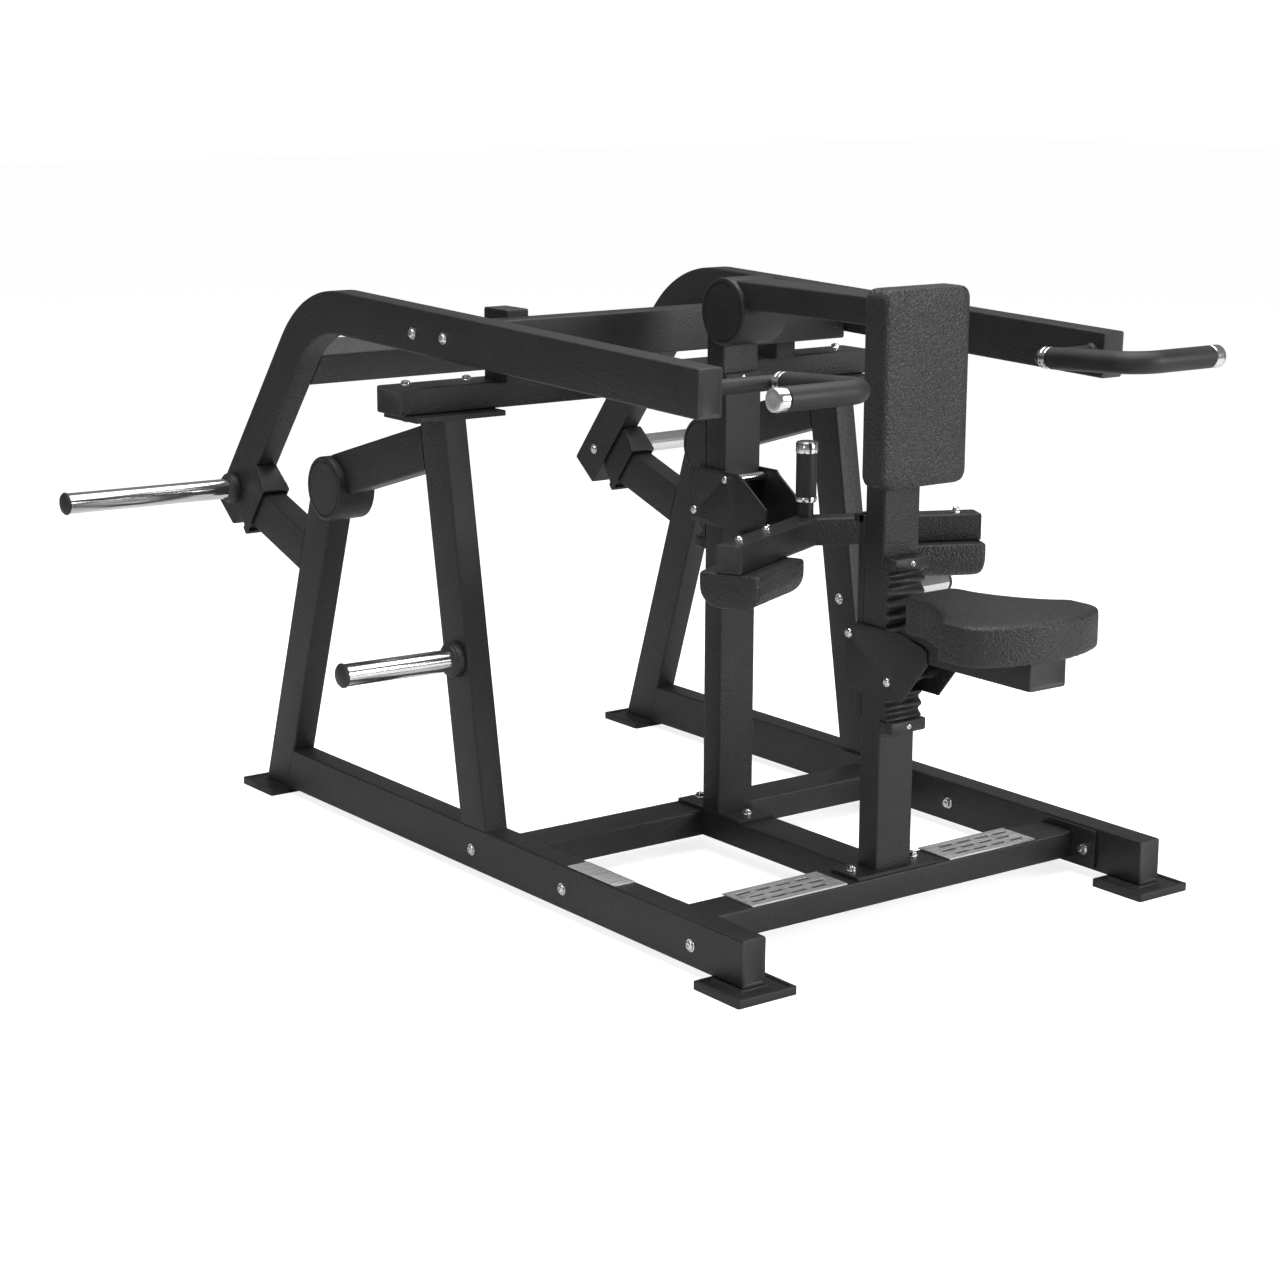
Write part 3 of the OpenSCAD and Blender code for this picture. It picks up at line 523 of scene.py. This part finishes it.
joint = Piece("visual_center_joint")
joint.turn(pt(0, 752, 1252), X, boss_profile(62, 75), n=72)
make(joint, POWDER, "frame", "center_joint")

beam = Piece("visual_top_beam")
beam.bar(pt(0, 222, 1292), Y, 500, X, Z, 100, 60)
make(beam, POWDER, "frame", "top_beam")

post = Piece("visual_seat_post")
post.bar(pt(0, 249, 104.5), Z, 1158, X, Y, 100, 60, bevel=0.5)
post.bar(pt(0, 249, 97), Z, 8, X, Y, 230, 92, r=6, bevel=1)
make(post, POWDER, "frame", "seat_post")


RACK_PITCH = 27
RACK_DEPTH = 17  # to the middle of the waves
RACK_WAVE = 5


def rack(name, node, y_face, facing, z0, z1):
    """Wave rack with a screwed block at each end; facing is the way its teeth point along Y."""
    count = int((z1 - z0) // RACK_PITCH)
    pts = [(0, z0)]
    steps = 10
    for i in range(count * steps + 1):
        z = z0 + RACK_PITCH * i / steps
        depth = RACK_DEPTH + RACK_WAVE * math.cos(2 * math.pi * i / steps)
        pts.append((depth, min(z, z1)))
    pts += [(RACK_DEPTH, z1), (0, z1)]
    piece = Piece(name)
    rings = []
    for x, shrink in ((-50, 1.5), (-48.5, 0), (48.5, 0), (50, 1.5)):
        rings.append([pt(x, y_face + facing * max(d - (shrink if d else 0), 0), z) for d, z in pts])
    piece.loft(rings)
    blocks = z0 - 14, z1 + 12
    for zc in blocks:
        piece.bar(pt(0, y_face, zc), Y * facing, 37, X, Z, 100, 27, r=5, bevel=3)
    make(piece, POWDER, "frame", node, angle=50)
    for zc in blocks:
        button(screw_piece, pt(0, y_face + facing * 37, zc), Y * facing, 6.5, 0)


def button(piece, origin, axis, r=10.5, washer=13.5):
    """Button-head socket screw, on a washer where one is given."""
    base = 0
    if washer:
        piece.turn(origin, axis, [(0, washer), (1.4, washer), (1.9, washer - 0.6), (1.9, r - 1)])
        base = 1.9
    h = r * 0.55
    piece.turn(
        origin + axis * base * MM,
        axis,
        [
            (0, r),
            (h * 0.25, r),
            (h * 0.6, r * 0.9),
            (h * 0.9, r * 0.68),
            (h, r * 0.5),
            (h, r * 0.42, "hex"),
            (h * 0.4, r * 0.4, "hex"),
        ],
        n=36,
    )


def hex_nut(piece, origin, axis, r=10.5, h=8, washer=13):
    piece.turn(origin, axis, [(0, washer), (1.4, washer), (1.8, washer - 0.5), (1.8, r - 1)], n=36)
    piece.turn(
        origin + axis * 1.8 * MM,
        axis,
        [(0, r, "hex"), (h - 1.2, r, "hex"), (h, r * 0.88), (h, 5.2), (h - 1, 5), (h + 1.5, 5), (h + 2, 4)],
        n=36,
    )


screw_piece = Piece("rack_screws")
rack("visual_seat_rack", "seat_rack", POST_FACE, -1, 438, 762)
rack("visual_thigh_rack", "thigh_rack", 821, 1, 738, 1062)
button(screw_piece, pt(0, 751, 1104), -Y, 7, 0)
button(screw_piece, pt(0, 315, 859), Y, 5, 0)
make(screw_piece, CHROME, "frame")

strip = Piece("visual_seat_glide_strip")
strip.bar(pt(0, 289, 430), Z, 438, X, Y, 99.6, 20, r=3, bevel=2)
strip.bar(pt(0, 298, 850), Z, 18, X, Y, 99.6, 33, r=3, bevel=2)
make(strip, RUBBER, "frame", "seat_glide_strip")
strip = Piece("visual_thigh_glide_strip")
strip.bar(pt(0, 756, 760), Z, 355, X, Y, 99.6, 10, r=2, bevel=2)
make(strip, RUBBER, "frame", "thigh_glide_strip")

# ---- Horns ----

STORAGE = (1022.5, 490)
HORN = (2046.4, 733.6)
HORN_TILT = math.radians(0.7)
HORN_CAP = [(-0.4, 24.5), (0, 26.5), (2, 27.4), (4.5, 27.4), (5.5, 26.6)]
HORN_CAP += [(9, 23.5), (11.6, 17), (13.2, 9), (13.8, 1)]


def horn(piece_c, piece_r, origin, axis, reach, collar_r):
    chrome_end = reach - 14
    piece_c.turn(origin, axis, [(0, 25), (chrome_end - 1, 25), (chrome_end, 24)], n=72)
    piece_r.turn(
        origin,
        axis,
        [
            (0, collar_r - 1),
            (1, collar_r),
            (15, collar_r),
            (17, collar_r - 1),
            (18, collar_r - 4),
            (22.5, collar_r - 6),
            (24, collar_r - 8),
            (24, 25.1),
        ],
        n=72,
    )
    piece_r.turn(origin + axis * chrome_end * MM, axis, HORN_CAP, n=72)


storage_chrome, storage_rubber = Piece("visual_storage_horns"), Piece("visual_storage_horn_fittings")
plate_rubber = Piece("visual_plate_horn_fittings")
for side, s in SIDES:
    out = Vector((s * math.cos(HORN_TILT), 0, math.sin(HORN_TILT)))
    horn(storage_chrome, storage_rubber, pt(s * 591, *STORAGE), out, 301, 40)
    piece = Piece("visual_plate_horn_" + side)
    horn(piece, plate_rubber, pt(s * 584, *HORN), out, 464, 38)
    make(piece, CHROME, "lever", "plate_horn_" + side)
make(storage_chrome, CHROME, "frame", "storage_horns")
make(storage_rubber, SATIN, "frame", "storage_horn_fittings")
make(plate_rubber, SATIN, "lever", "plate_horn_fittings")

bolts = Piece("visual_frame_bolts")
for _, s in SIDES:
    for y in BOLT_YS:
        button(bolts, pt(s * 591, y, 64), X * s)
        hex_nut(bolts, pt(s * (531 if y == BOLT_YS[1] else 523), y, 64), X * -s)
    for x in TOP_BOLTS:
        hex_nut(bolts, pt(s * x, 1165, 1089), Z, h=7)
        hex_nut(bolts, pt(s * x, 1165, 1017), -Z, r=9.5, h=7, washer=12)
    hex_nut(bolts, pt(s * 88, 255, 105), Z, h=7)
    button(bolts, pt(s * 531, *STORAGE), X * -s)
for y in (719, 893):
    hex_nut(bolts, pt(0, y, 105), Z, h=7)
make(bolts, CHROME, "frame", "frame_bolts")

for node, look, width in (("feet", RUBBER, 1.5), ("foot_treads", STEEL, 0.5), ("name_plate", STEEL, 0.3)):
    rounded_copy(node, "visual_" + node, look[0], "frame", width)

# ---- Lever ----

SLOPE = 1.7
ARM_START = Vector((166, 1173))
ARM_BEND = 280


def arm_path():
    """Centre line of an arm as (y, z) points."""
    a, b = math.radians(SLOPE), math.radians(ARM_DROP)
    p0 = ARM_START
    p1 = p0 + Vector((math.cos(a), math.sin(a))) * 1356
    c = p1 + Vector((math.sin(a), -math.cos(a))) * ARM_BEND
    out = [p0, p0 + (p1 - p0) * 0.5]
    steps = 40
    for i in range(steps + 1):
        t = -a + (a + b) * i / steps
        out.append(c + Vector((math.sin(t), math.cos(t))) * ARM_BEND)
    out.append(out[-1] + Vector((math.cos(b), -math.sin(b))) * 557)
    return out


arm_points = arm_path()
for side, s in SIDES:
    arm = Piece("visual_arm_" + side)
    path = [pt(s * 554, y, z) for y, z in arm_points]
    path[0] = path[0] + (path[1] - path[0]).normalized() * 3 * MM
    path[-1] = path[-1] + (path[-2] - path[-1]).normalized() * 3 * MM
    arm.sweep(path, X, lambda inset: rounded(100 - 2 * inset, 60 - 2 * inset, 5 - inset), 1.2)
    make(arm, POWDER, "lever", "arm_" + side)

caps = Piece("visual_lever_end_caps")
first, last = tilted(SLOPE), ARM_DIR
for _, s in SIDES:
    cap_on(caps, pt(s * 554, *arm_points[0]), -first, X, X.cross(first), 60, 100)
    cap_on(caps, pt(s * 554, *arm_points[-1]), last, X, X.cross(last), 60, 100)
make(caps, SATIN, "lever")

LOWER = Vector(arm_points[-2])
tube = Piece("visual_lever_cross_tube")
center = LOWER + Vector((last.y, last.z)) * 27
normal = Vector((math.sin(math.radians(ARM_DROP)), math.cos(math.radians(ARM_DROP))))
mid = center - normal * 20
tube.bar(pt(-524, *mid), X, 1048, Vector((0, normal.x, normal.y)), last, 60, 100, bevel=0.5)
make(tube, POWDER, "lever", "lever_cross_tube")

TILT = math.radians(3)
HANDLE_N = Vector((0, math.sin(TILT), math.cos(TILT)))
HANDLE_F = Vector((0, -math.cos(TILT), math.sin(TILT)))
IN_X, FRONT, OUT, ELBOW, CORNER, COLLAR = 365, 290, 240, 20, 60, 22


def handle_point(s, x, forward):
    return pt(s * x, 205, 1177) + HANDLE_F * forward * MM


def arc(s, cx, cf, r, a0, a1, steps):
    out = []
    for i in range(steps + 1):
        a = math.radians(a0 + (a1 - a0) * i / steps)
        out.append(handle_point(s, cx + r * math.cos(a), cf + r * math.sin(a)))
    return out


def ring_section(r, n=32):
    return lambda inset: [
        ((r - inset) * math.cos(2 * math.pi * i / n), (r - inset) * math.sin(2 * math.pi * i / n))
        for i in range(n)
    ]


grip_collars = Piece("visual_grip_collars")
for side, s in SIDES:
    bar = Piece("visual_handle_bar_" + side)
    path = [handle_point(s, 525, 0)] + arc(s, IN_X + ELBOW, ELBOW, ELBOW, 270, 180, 8)
    path += [handle_point(s, IN_X, ELBOW + 20)]
    bar.sweep(path, HANDLE_N, ring_section(16))
    bar.turn(handle_point(s, 524, 0), X * -s, [(0, 21), (2, 20), (5, 17.5), (7, 16)])
    make(bar, POWDER, "lever", "handle_bar_" + side)
    grip = Piece("visual_grip_" + side)
    path = [handle_point(s, IN_X, ELBOW + COLLAR + 1 + i * 20) for i in range(10)]
    path += arc(s, IN_X + CORNER, FRONT - CORNER, CORNER, 180, 90, 18)
    path += [handle_point(s, IN_X + CORNER + (OUT - CORNER - COLLAR - 5) * i / 8, FRONT) for i in range(1, 9)]
    grip.sweep(path, HANDLE_N, ring_section(24, 40), 2.5)
    make(grip, RUBBER, "lever", "grip_" + side)
    ring = [(0, 22), (1.5, 23.8), (4, 24.2), (8, 24.2), (9, 23.6), (12, 23.6)]
    ring += [(13, 24.2), (19, 24.2), (21, 23.6), (22, 21)]
    grip_collars.turn(handle_point(s, IN_X, ELBOW), HANDLE_F, ring)
    end = [(0, 22), (1.5, 23.8), (16, 24.2), (23, 23.8), (25.4, 22.4), (26, 20), (25.6, 12), (25.6, 2)]
    grip_collars.turn(handle_point(s, IN_X + OUT - 26, FRONT), X * s, end)
make(grip_collars, CHROME, "lever", "grip_collars")

bolts = Piece("visual_lever_bolts")
for _, s in SIDES:
    for dy in (-63, 63):
        button(bolts, pt(s * 584, PIVOT[0] + dy, PIVOT[1]), X * s)
    button(bolts, pt(s * 524, *HORN), X * -s)
make(bolts, CHROME, "lever", "lever_bolts")
bearing = Piece("visual_pivot_bearings")
for _, s in SIDES:
    bearing.turn(
        pt(s * 524, *PIVOT),
        X * s,
        [(0, 15.3), (0, 30), (0.6, 30.8), (55, 30.8), (55, 15.3)],
        closed=True,
    )
make(bearing, SATIN, "lever", "pivot_bearings")

# ---- Carriages ----

for node, body in (("seat_side_plates", "seat_carriage"), ("thigh_side_plates", "thigh_carriage")):
    rounded_copy(node, "visual_" + node, POWDER[0], body, 0.8)
rounded_copy("thigh_web", "visual_thigh_web", POWDER[0], "thigh_carriage", 1.2)

for name, body, spots in (
    ("seat_lock_pin", "seat_carriage", ((189.5, 526, 7, 10), (*SEAT_ROLLER, 6, 11))),
    ("thigh_lock_pin", "thigh_carriage", ((850.5, 798, 7, 10), (*THIGH_ROLLER, 6, 9))),
):
    pin = Piece("visual_" + name)
    for y, z, r, head in spots:
        pin.turn(pt(-58, y, z), X, [(0, r), (116, r)], n=32)
        for _, s in SIDES:
            button(pin, pt(s * 58, y, z), X * s, head, 0)
    make(pin, CHROME, body, name)
for name, at, r in (("seat_roller", SEAT_ROLLER, 13.6), ("thigh_roller", THIGH_ROLLER, 10)):
    piece = Piece("visual_" + name)
    profile = [(-52, 6.1), (-52, r - 1), (-51, r), (51, r), (52, r - 1), (52, 6.1)]
    piece.turn(pt(0, *at), X, profile, closed=True)
    make(piece, CHROME, name, name)

beam = Piece("visual_seat_beam")
beam.bar(pt(0, -216, 614), Y, 376, X, Z, 100, 60)
make(beam, POWDER, "seat_carriage", "seat_beam")
caps = Piece("visual_seat_beam_cap")
cap_on(caps, pt(0, -219, 614), -Y, X, Z, 100, 60)
make(caps, SATIN, "seat_carriage")

SWEEP = math.radians(25.3)
APEX_Y = 492 + 30 / math.cos(SWEEP)
bar = Piece("visual_thigh_bar")
caps = Piece("visual_thigh_bar_caps")
fittings = Piece("visual_hand_grip_fittings")
for _, s in SIDES:
    out = Vector((s * math.cos(SWEEP), -math.sin(SWEEP), 0))
    across = Z.cross(out)
    start = pt(0, APEX_Y, 793)
    bar.bar(start, out, 385, across, Z, 60, 60, cut0=(pt(s * -0.2, 0, 0), X))
    cap_on(caps, start + out * 388 * MM, out, across, Z, 60, 60)
    for t in (206, 338):
        spot = start + out * t * MM + Z * 30 * MM
        fittings.turn(spot, Z, [(0, 11), (1.2, 11), (1.5, 9)], n=36)
        dome = [(6.2, 7.8), (9, 7.4), (11.5, 5.4), (12.8, 2.6), (13, 0.4)]
        fittings.turn(spot, Z, [(1.4, 9, "hex"), (6, 9, "hex")] + dome, n=36)
make(bar, POWDER, "thigh_carriage", "thigh_bar")
make(caps, SATIN, "thigh_carriage")

base = pt(0, 530, 823)
piece = Piece("visual_hand_grip")
piece.turn(base, Z, [(0, 17), (33, 17), (33, 12), (34, 12)])
piece.turn(base, Z, [(44, 20), (45.5, 22.4), (47, 22.8), (151, 22.8), (152.5, 22.2), (153.5, 20)], n=48)
make(piece, RUBBER, "thigh_carriage", "hand_grip")
fittings.turn(base, Z, [(32.5, 18), (33.2, 23), (35, 24), (43, 24), (44.6, 23.2), (45, 20)])
fittings.turn(base, Z, [(140, 22), (140.5, 23.4), (142, 24), (161, 24), (164.5, 21.5), (166, 16), (166, 1)])
make(fittings, CHROME, "thigh_carriage", "hand_grip_fittings")

# ---- Pads ----


def outline_normals(points):
    n = len(points)
    out = []
    for i in range(n):
        d = Vector(points[(i + 1) % n]) - Vector(points[i - 1])
        out.append(Vector((d.y, -d.x)).normalized())
    return out


def cushion_rings(outline, depth, place, front_r, back_r, shrink):
    """Rings of a pad from its flat back to its face; place(a, b, t) puts them in the model."""
    normals = outline_normals(outline)
    steps = 5
    levels = [(0.0, back_r)]
    for i in range(1, steps + 1):
        a = math.pi / 2 * i / steps
        levels.append((back_r * (1 - math.cos(a)), back_r * (1 - math.sin(a))))
    top = depth - shrink
    for i in range(steps + 1):
        a = math.pi / 2 * i / steps
        levels.append((top - front_r * (1 - math.sin(a)), front_r * (1 - math.cos(a))))
    rings = []
    for t, inset in levels:
        step = inset + shrink
        rings.append([place(p[0] - m.x * step, p[1] - m.y * step, t) for p, m in zip(outline, normals)])
    return rings


def evaluated(obj, name):
    deps = bpy.context.evaluated_depsgraph_get()
    mesh = bpy.data.meshes.new_from_object(obj.evaluated_get(deps))
    mesh.name = name
    return mesh


CUSHION_PRESSURE = 4
CUSHION_FRAMES = 20
SWELL_SMOOTHING = 14  # passes
REST_BAND = 0.8 * MM  # points this close to the back are set onto it


def cushion(name, node, body, rings, plane, seam, cap=2.5, voxel=5.0):
    """Leather pad: remeshed, blown up a little by a cloth simulation, flat where it rests, with a sunk seam.
    plane is (point, normal) of the back; seam(co) gives the move in metres that sinks a point, or None."""
    bm_piece = Piece(name)
    bm_piece.loft(rings)
    bmesh.ops.recalc_face_normals(bm_piece.bm, faces=bm_piece.bm.faces)
    bmesh.ops.triangulate(bm_piece.bm, faces=bm_piece.bm.faces)
    mesh = bpy.data.meshes.new(name)
    bm_piece.bm.to_mesh(mesh)
    bm_piece.bm.free()
    obj = bpy.data.objects.new(name, mesh)
    scene.collection.objects.link(obj)
    remesh = obj.modifiers.new("remesh", "REMESH")
    remesh.mode = "VOXEL"
    remesh.voxel_size = voxel * MM
    mesh = evaluated(obj, name)
    obj.modifiers.clear()
    obj.data = mesh
    before = [v.co.copy() for v in mesh.vertices]
    cloth = obj.modifiers.new("cloth", "CLOTH")
    cloth.settings.use_pressure = True
    cloth.settings.uniform_pressure_force = CUSHION_PRESSURE
    cloth.settings.quality = 4
    cloth.settings.effector_weights.gravity = 0
    cloth.collision_settings.use_collision = False
    for f in range(1, CUSHION_FRAMES + 1):
        scene.frame_set(f)
    after = evaluated(obj, name + "_blown")
    moved = [v.co.copy() for v in after.vertices]
    obj.modifiers.clear()
    scene.frame_set(1)
    bpy.data.meshes.remove(after)
    near = [[] for _ in before]
    for edge in mesh.edges:
        a, b = edge.vertices
        near[a].append(b)
        near[b].append(a)
    normals = [v.normal.copy() for v in mesh.vertices]
    swell = [min(max((new - old).dot(m), 0), cap * MM) for old, new, m in zip(before, moved, normals)]
    for _ in range(SWELL_SMOOTHING):
        swell = [(s + sum(swell[j] for j in ring)) / (len(ring) + 1) for s, ring in zip(swell, near)]
    for v, m, s in zip(mesh.vertices, normals, swell):
        v.co += m * s
    smooth = obj.modifiers.new("smooth", "SMOOTH")
    smooth.factor = 0.5
    smooth.iterations = 3
    sub = obj.modifiers.new("sub", "SUBSURF")
    sub.levels = 1
    sub.render_levels = 1
    mesh = evaluated(obj, name)
    bpy.data.objects.remove(obj)
    for v in mesh.vertices:
        off = (v.co - plane[0]).dot(plane[1])
        if off < REST_BAND:
            v.co -= plane[1] * off
        push = seam(v.co)
        if push:
            v.co += push
    obj = finish_piece(mesh, name, LEATHER[0], body, (node,), 80)
    return obj


def valley(distance, width, depth):
    """Smooth dip: its depth at this distance from the seam line, all in millimetres."""
    if abs(distance) >= width:
        return 0.0
    return depth * (0.5 + 0.5 * math.cos(math.pi * distance / width)) * MM


# How much smaller a pad starts than its CAD solid, before it swells
PAD_SHRINK = 1.6

# Chest pad: outline in X and Z, back against the seat post
chest = rounded(236, 412, 26, 8)
CHEST_Z = 1144  # middle of the pad


def chest_place(a, b, t):
    return pt(a, POST_FACE - t, CHEST_Z + b)


def chest_seam(co):
    depth = (pt(0, POST_FACE, 0).y - co.y) / MM
    d = valley(depth - 55, 3.2, 0.8)
    if not d:
        return None
    out = Vector((co.x, 0, co.z - pt(0, 0, CHEST_Z).z))
    return out.normalized() * -d


cushion(
    "visual_chest_pad",
    "chest_pad",
    "frame",
    cushion_rings(chest, 67, chest_place, 7, 4, PAD_SHRINK),
    (pt(0, POST_FACE, 0), -Y),
    chest_seam,
)


# Seat pad: wide bowed front, hollow flanks, narrow neck
def seat_outline():
    half, neck = 185, 75
    right = []
    for i in range(1, 13):
        a = math.radians(-90 + 27.1 * i / 12)
        right.append((318 * math.cos(a), 78 + 318 * math.sin(a)))
    for i in range(1, 9):
        a = math.radians(-68 + 68 * i / 8)
        right.append((half - 52 + 52 * math.cos(a), -153 + 52 * math.sin(a)))
    for i in range(0, 5):
        a = math.radians(40 * i / 4)
        right.append((half - 22 + 22 * math.cos(a), -104 + 22 * math.sin(a)))
    ends, bend = ((half - 5, -90), (neck, 88)), (104, -36)
    for i in range(1, 15):
        f = i / 15
        weights = (1 - f) ** 2, 2 * f * (1 - f), f * f
        right.append(tuple(sum(w * p[k] for w, p in zip(weights, (ends[0], bend, ends[1]))) for k in (0, 1)))
    for i in range(0, 7):
        a = math.radians(90 * i / 6)
        right.append((neck - 26 + 26 * math.cos(a), 111 + 26 * math.sin(a)))
    left = [(-x, y) for x, y in reversed(right)]
    return [(0, -240)] + right + left


SEAT_Z = 644  # underside of the pad


def seat_place(a, b, t):
    return pt(a, b, SEAT_Z + t)


def seat_seam(co):
    height = co.z / MM - SEAT_Z
    d = valley(height - 68, 3.2, 0.8)
    if not d:
        return None
    y = co.y / MM - ORIGIN_Y
    middle = Vector((0, -130 if y < -40 else y, 0))
    out = Vector((co.x / MM, y - middle.y, 0))
    return out.normalized() * -d if out.length > 1 else None


cushion(
    "visual_seat_pad",
    "seat_pad",
    "seat_carriage",
    cushion_rings(seat_outline(), 82, seat_place, 9, 4, PAD_SHRINK),
    (pt(0, 0, SEAT_Z), Z),
    seat_seam,
)

# Thigh pads: flat on top, round below, with soft ends
THIGH_Z = 763  # top of the pads
THIGH_AT = 153  # from the middle of the bar to a pad
THIGH_LEN = 238
THIGH_HALF = 71
THIGH_DEPTH = 76
THIGH_EDGE = 45

for side, s in SIDES:
    out = Vector((s * math.cos(SWEEP), -math.sin(SWEEP), 0))
    across = Z.cross(out)
    start = pt(0, APEX_Y, THIGH_Z)
    section = [(-THIGH_HALF + 2 * THIGH_HALF * i / 12, 0) for i in range(13)]
    section += [(THIGH_HALF, -12), (THIGH_HALF, -24)]
    edge_x, edge_z = THIGH_HALF - THIGH_EDGE, THIGH_EDGE - THIGH_DEPTH
    for i in range(13):
        a = math.radians(-90 * i / 12)
        section.append((edge_x + THIGH_EDGE * math.cos(a), edge_z + THIGH_EDGE * math.sin(a)))
    section += [(13, -THIGH_DEPTH), (0, -THIGH_DEPTH), (-13, -THIGH_DEPTH)]
    for i in range(13):
        a = math.radians(-90 - 90 * i / 12)
        section.append((-edge_x + THIGH_EDGE * math.cos(a), edge_z + THIGH_EDGE * math.sin(a)))
    section += [(-THIGH_HALF, -24), (-THIGH_HALF, -12)]
    rings = []
    near_end = [(0, 10), (1, 6), (3.5, 3), (8, 0.8), (13, 0)]
    far_end = [(THIGH_LEN - t, inset) for t, inset in reversed(near_end)]
    for t, inset in near_end + far_end:
        ring = []
        for a, b in section:
            wide = 1 - (inset + PAD_SHRINK) / THIGH_HALF
            deep = 1 - (inset + PAD_SHRINK) / THIGH_DEPTH
            place = out * (THIGH_AT + PAD_SHRINK + t * (1 - 2 * PAD_SHRINK / THIGH_LEN))
            ring.append(start + (place + across * a * wide + Z * b * deep) * MM)
        rings.append(ring)

    def thigh_seam(co, start=start, out=out, across=across):
        along = (co - start).dot(out) / MM - THIGH_AT
        d = valley(along - 16, 3, 0.7) + valley(along - (THIGH_LEN - 16), 3, 0.7)
        if not d:
            return None
        rel = co - start
        radial = across * rel.dot(across) + Z * (rel.z + 36 * MM)
        return radial.normalized() * -d

    cushion(
        "visual_thigh_pad_" + side,
        "thigh_pad_" + side,
        "thigh_carriage",
        rings,
        (pt(0, 0, THIGH_Z), -Z),
        thigh_seam,
        voxel=4.5,
    )

# ---- Floor, light and camera ----

floor_mesh = bpy.data.meshes.new("floor")
floor_bm = bmesh.new()
for x, y in ((-30, -30), (30, -30), (30, 30), (-30, 30)):
    floor_bm.verts.new((x, y, 0))
floor_bm.faces.new(floor_bm.verts)
floor_bm.to_mesh(floor_mesh)
floor_bm.free()
floor = bpy.data.objects.new("floor", floor_mesh)
scene.collection.objects.link(floor)
floor_mat, floor_tree, floor_shader = node_material("pale_floor", grey(0.86), 0.8)
floor_shader.inputs["Emission Color"].default_value = (1, 1, 1, 1)
floor_mesh.materials.append(floor_mat)

world = bpy.data.worlds.new("studio")
scene.world = world
world.use_nodes = True
world.node_tree.nodes["Background"].inputs["Color"].default_value = (1, 1, 1, 1)


def seen_by_camera(tree, socket, seen, unseen):
    """Drives the socket with one value for what the camera sees and another for what lights the object."""
    path = tree.nodes.new("ShaderNodeLightPath")
    level = tree.nodes.new("ShaderNodeMapRange")
    level.inputs["To Min"].default_value = unseen
    level.inputs["To Max"].default_value = seen
    tree.links.new(path.outputs["Is Camera Ray"], level.inputs["Value"])
    tree.links.new(level.outputs["Result"], socket)


seen_by_camera(world.node_tree, world.node_tree.nodes["Background"].inputs["Strength"], 1.05, 0.21)
seen_by_camera(floor_tree, floor_shader.inputs["Emission Strength"], 0.8, 0.0)


def area(name, where, target, size, power):
    data = bpy.data.lights.new(name, "AREA")
    data.shape = "RECTANGLE"
    data.size, data.size_y = size
    data.energy = power
    lamp = bpy.data.objects.new(name, data)
    lamp.location = where
    lamp.rotation_euler = (Vector(target) - Vector(where)).to_track_quat("-Z", "Y").to_euler()
    scene.collection.objects.link(lamp)


area("top_box", (0, -0.4, 4.2), (0, 0, 0.6), (4.5, 4.5), 200)
area("front_box", (2.6, -5.2, 2.2), (0, 0, 0.7), (2.4, 2.4), 150)
area("side_box", (-5.4, -2.6, 2.6), (0, 0, 0.7), (1.2, 2.4), 30)

AZIMUTH, ELEVATION, ROLL = math.radians(-36.739), math.radians(12.792), math.radians(0.239)
back = Vector(
    (math.sin(AZIMUTH) * math.cos(ELEVATION), -math.cos(AZIMUTH) * math.cos(ELEVATION), math.sin(ELEVATION))
)
right = Vector((math.cos(AZIMUTH), math.sin(AZIMUTH), 0))
up = back.cross(right)
cam_x = right * math.cos(ROLL) + up * math.sin(ROLL)
cam_y = up * math.cos(ROLL) - right * math.sin(ROLL)
camera_data = bpy.data.cameras.new("camera")
camera_data.lens = 76.2
camera_data.sensor_width = 36
camera = bpy.data.objects.new("camera", camera_data)
where = pt(-3765, -3913, 1865)
camera.matrix_world = Matrix(
    (
        (cam_x.x, cam_y.x, back.x, where.x),
        (cam_x.y, cam_y.y, back.y, where.y),
        (cam_x.z, cam_y.z, back.z, where.z),
        (0, 0, 0, 1),
    )
)
scene.collection.objects.link(camera)
scene.camera = camera
scene.view_settings.view_transform = "Standard"
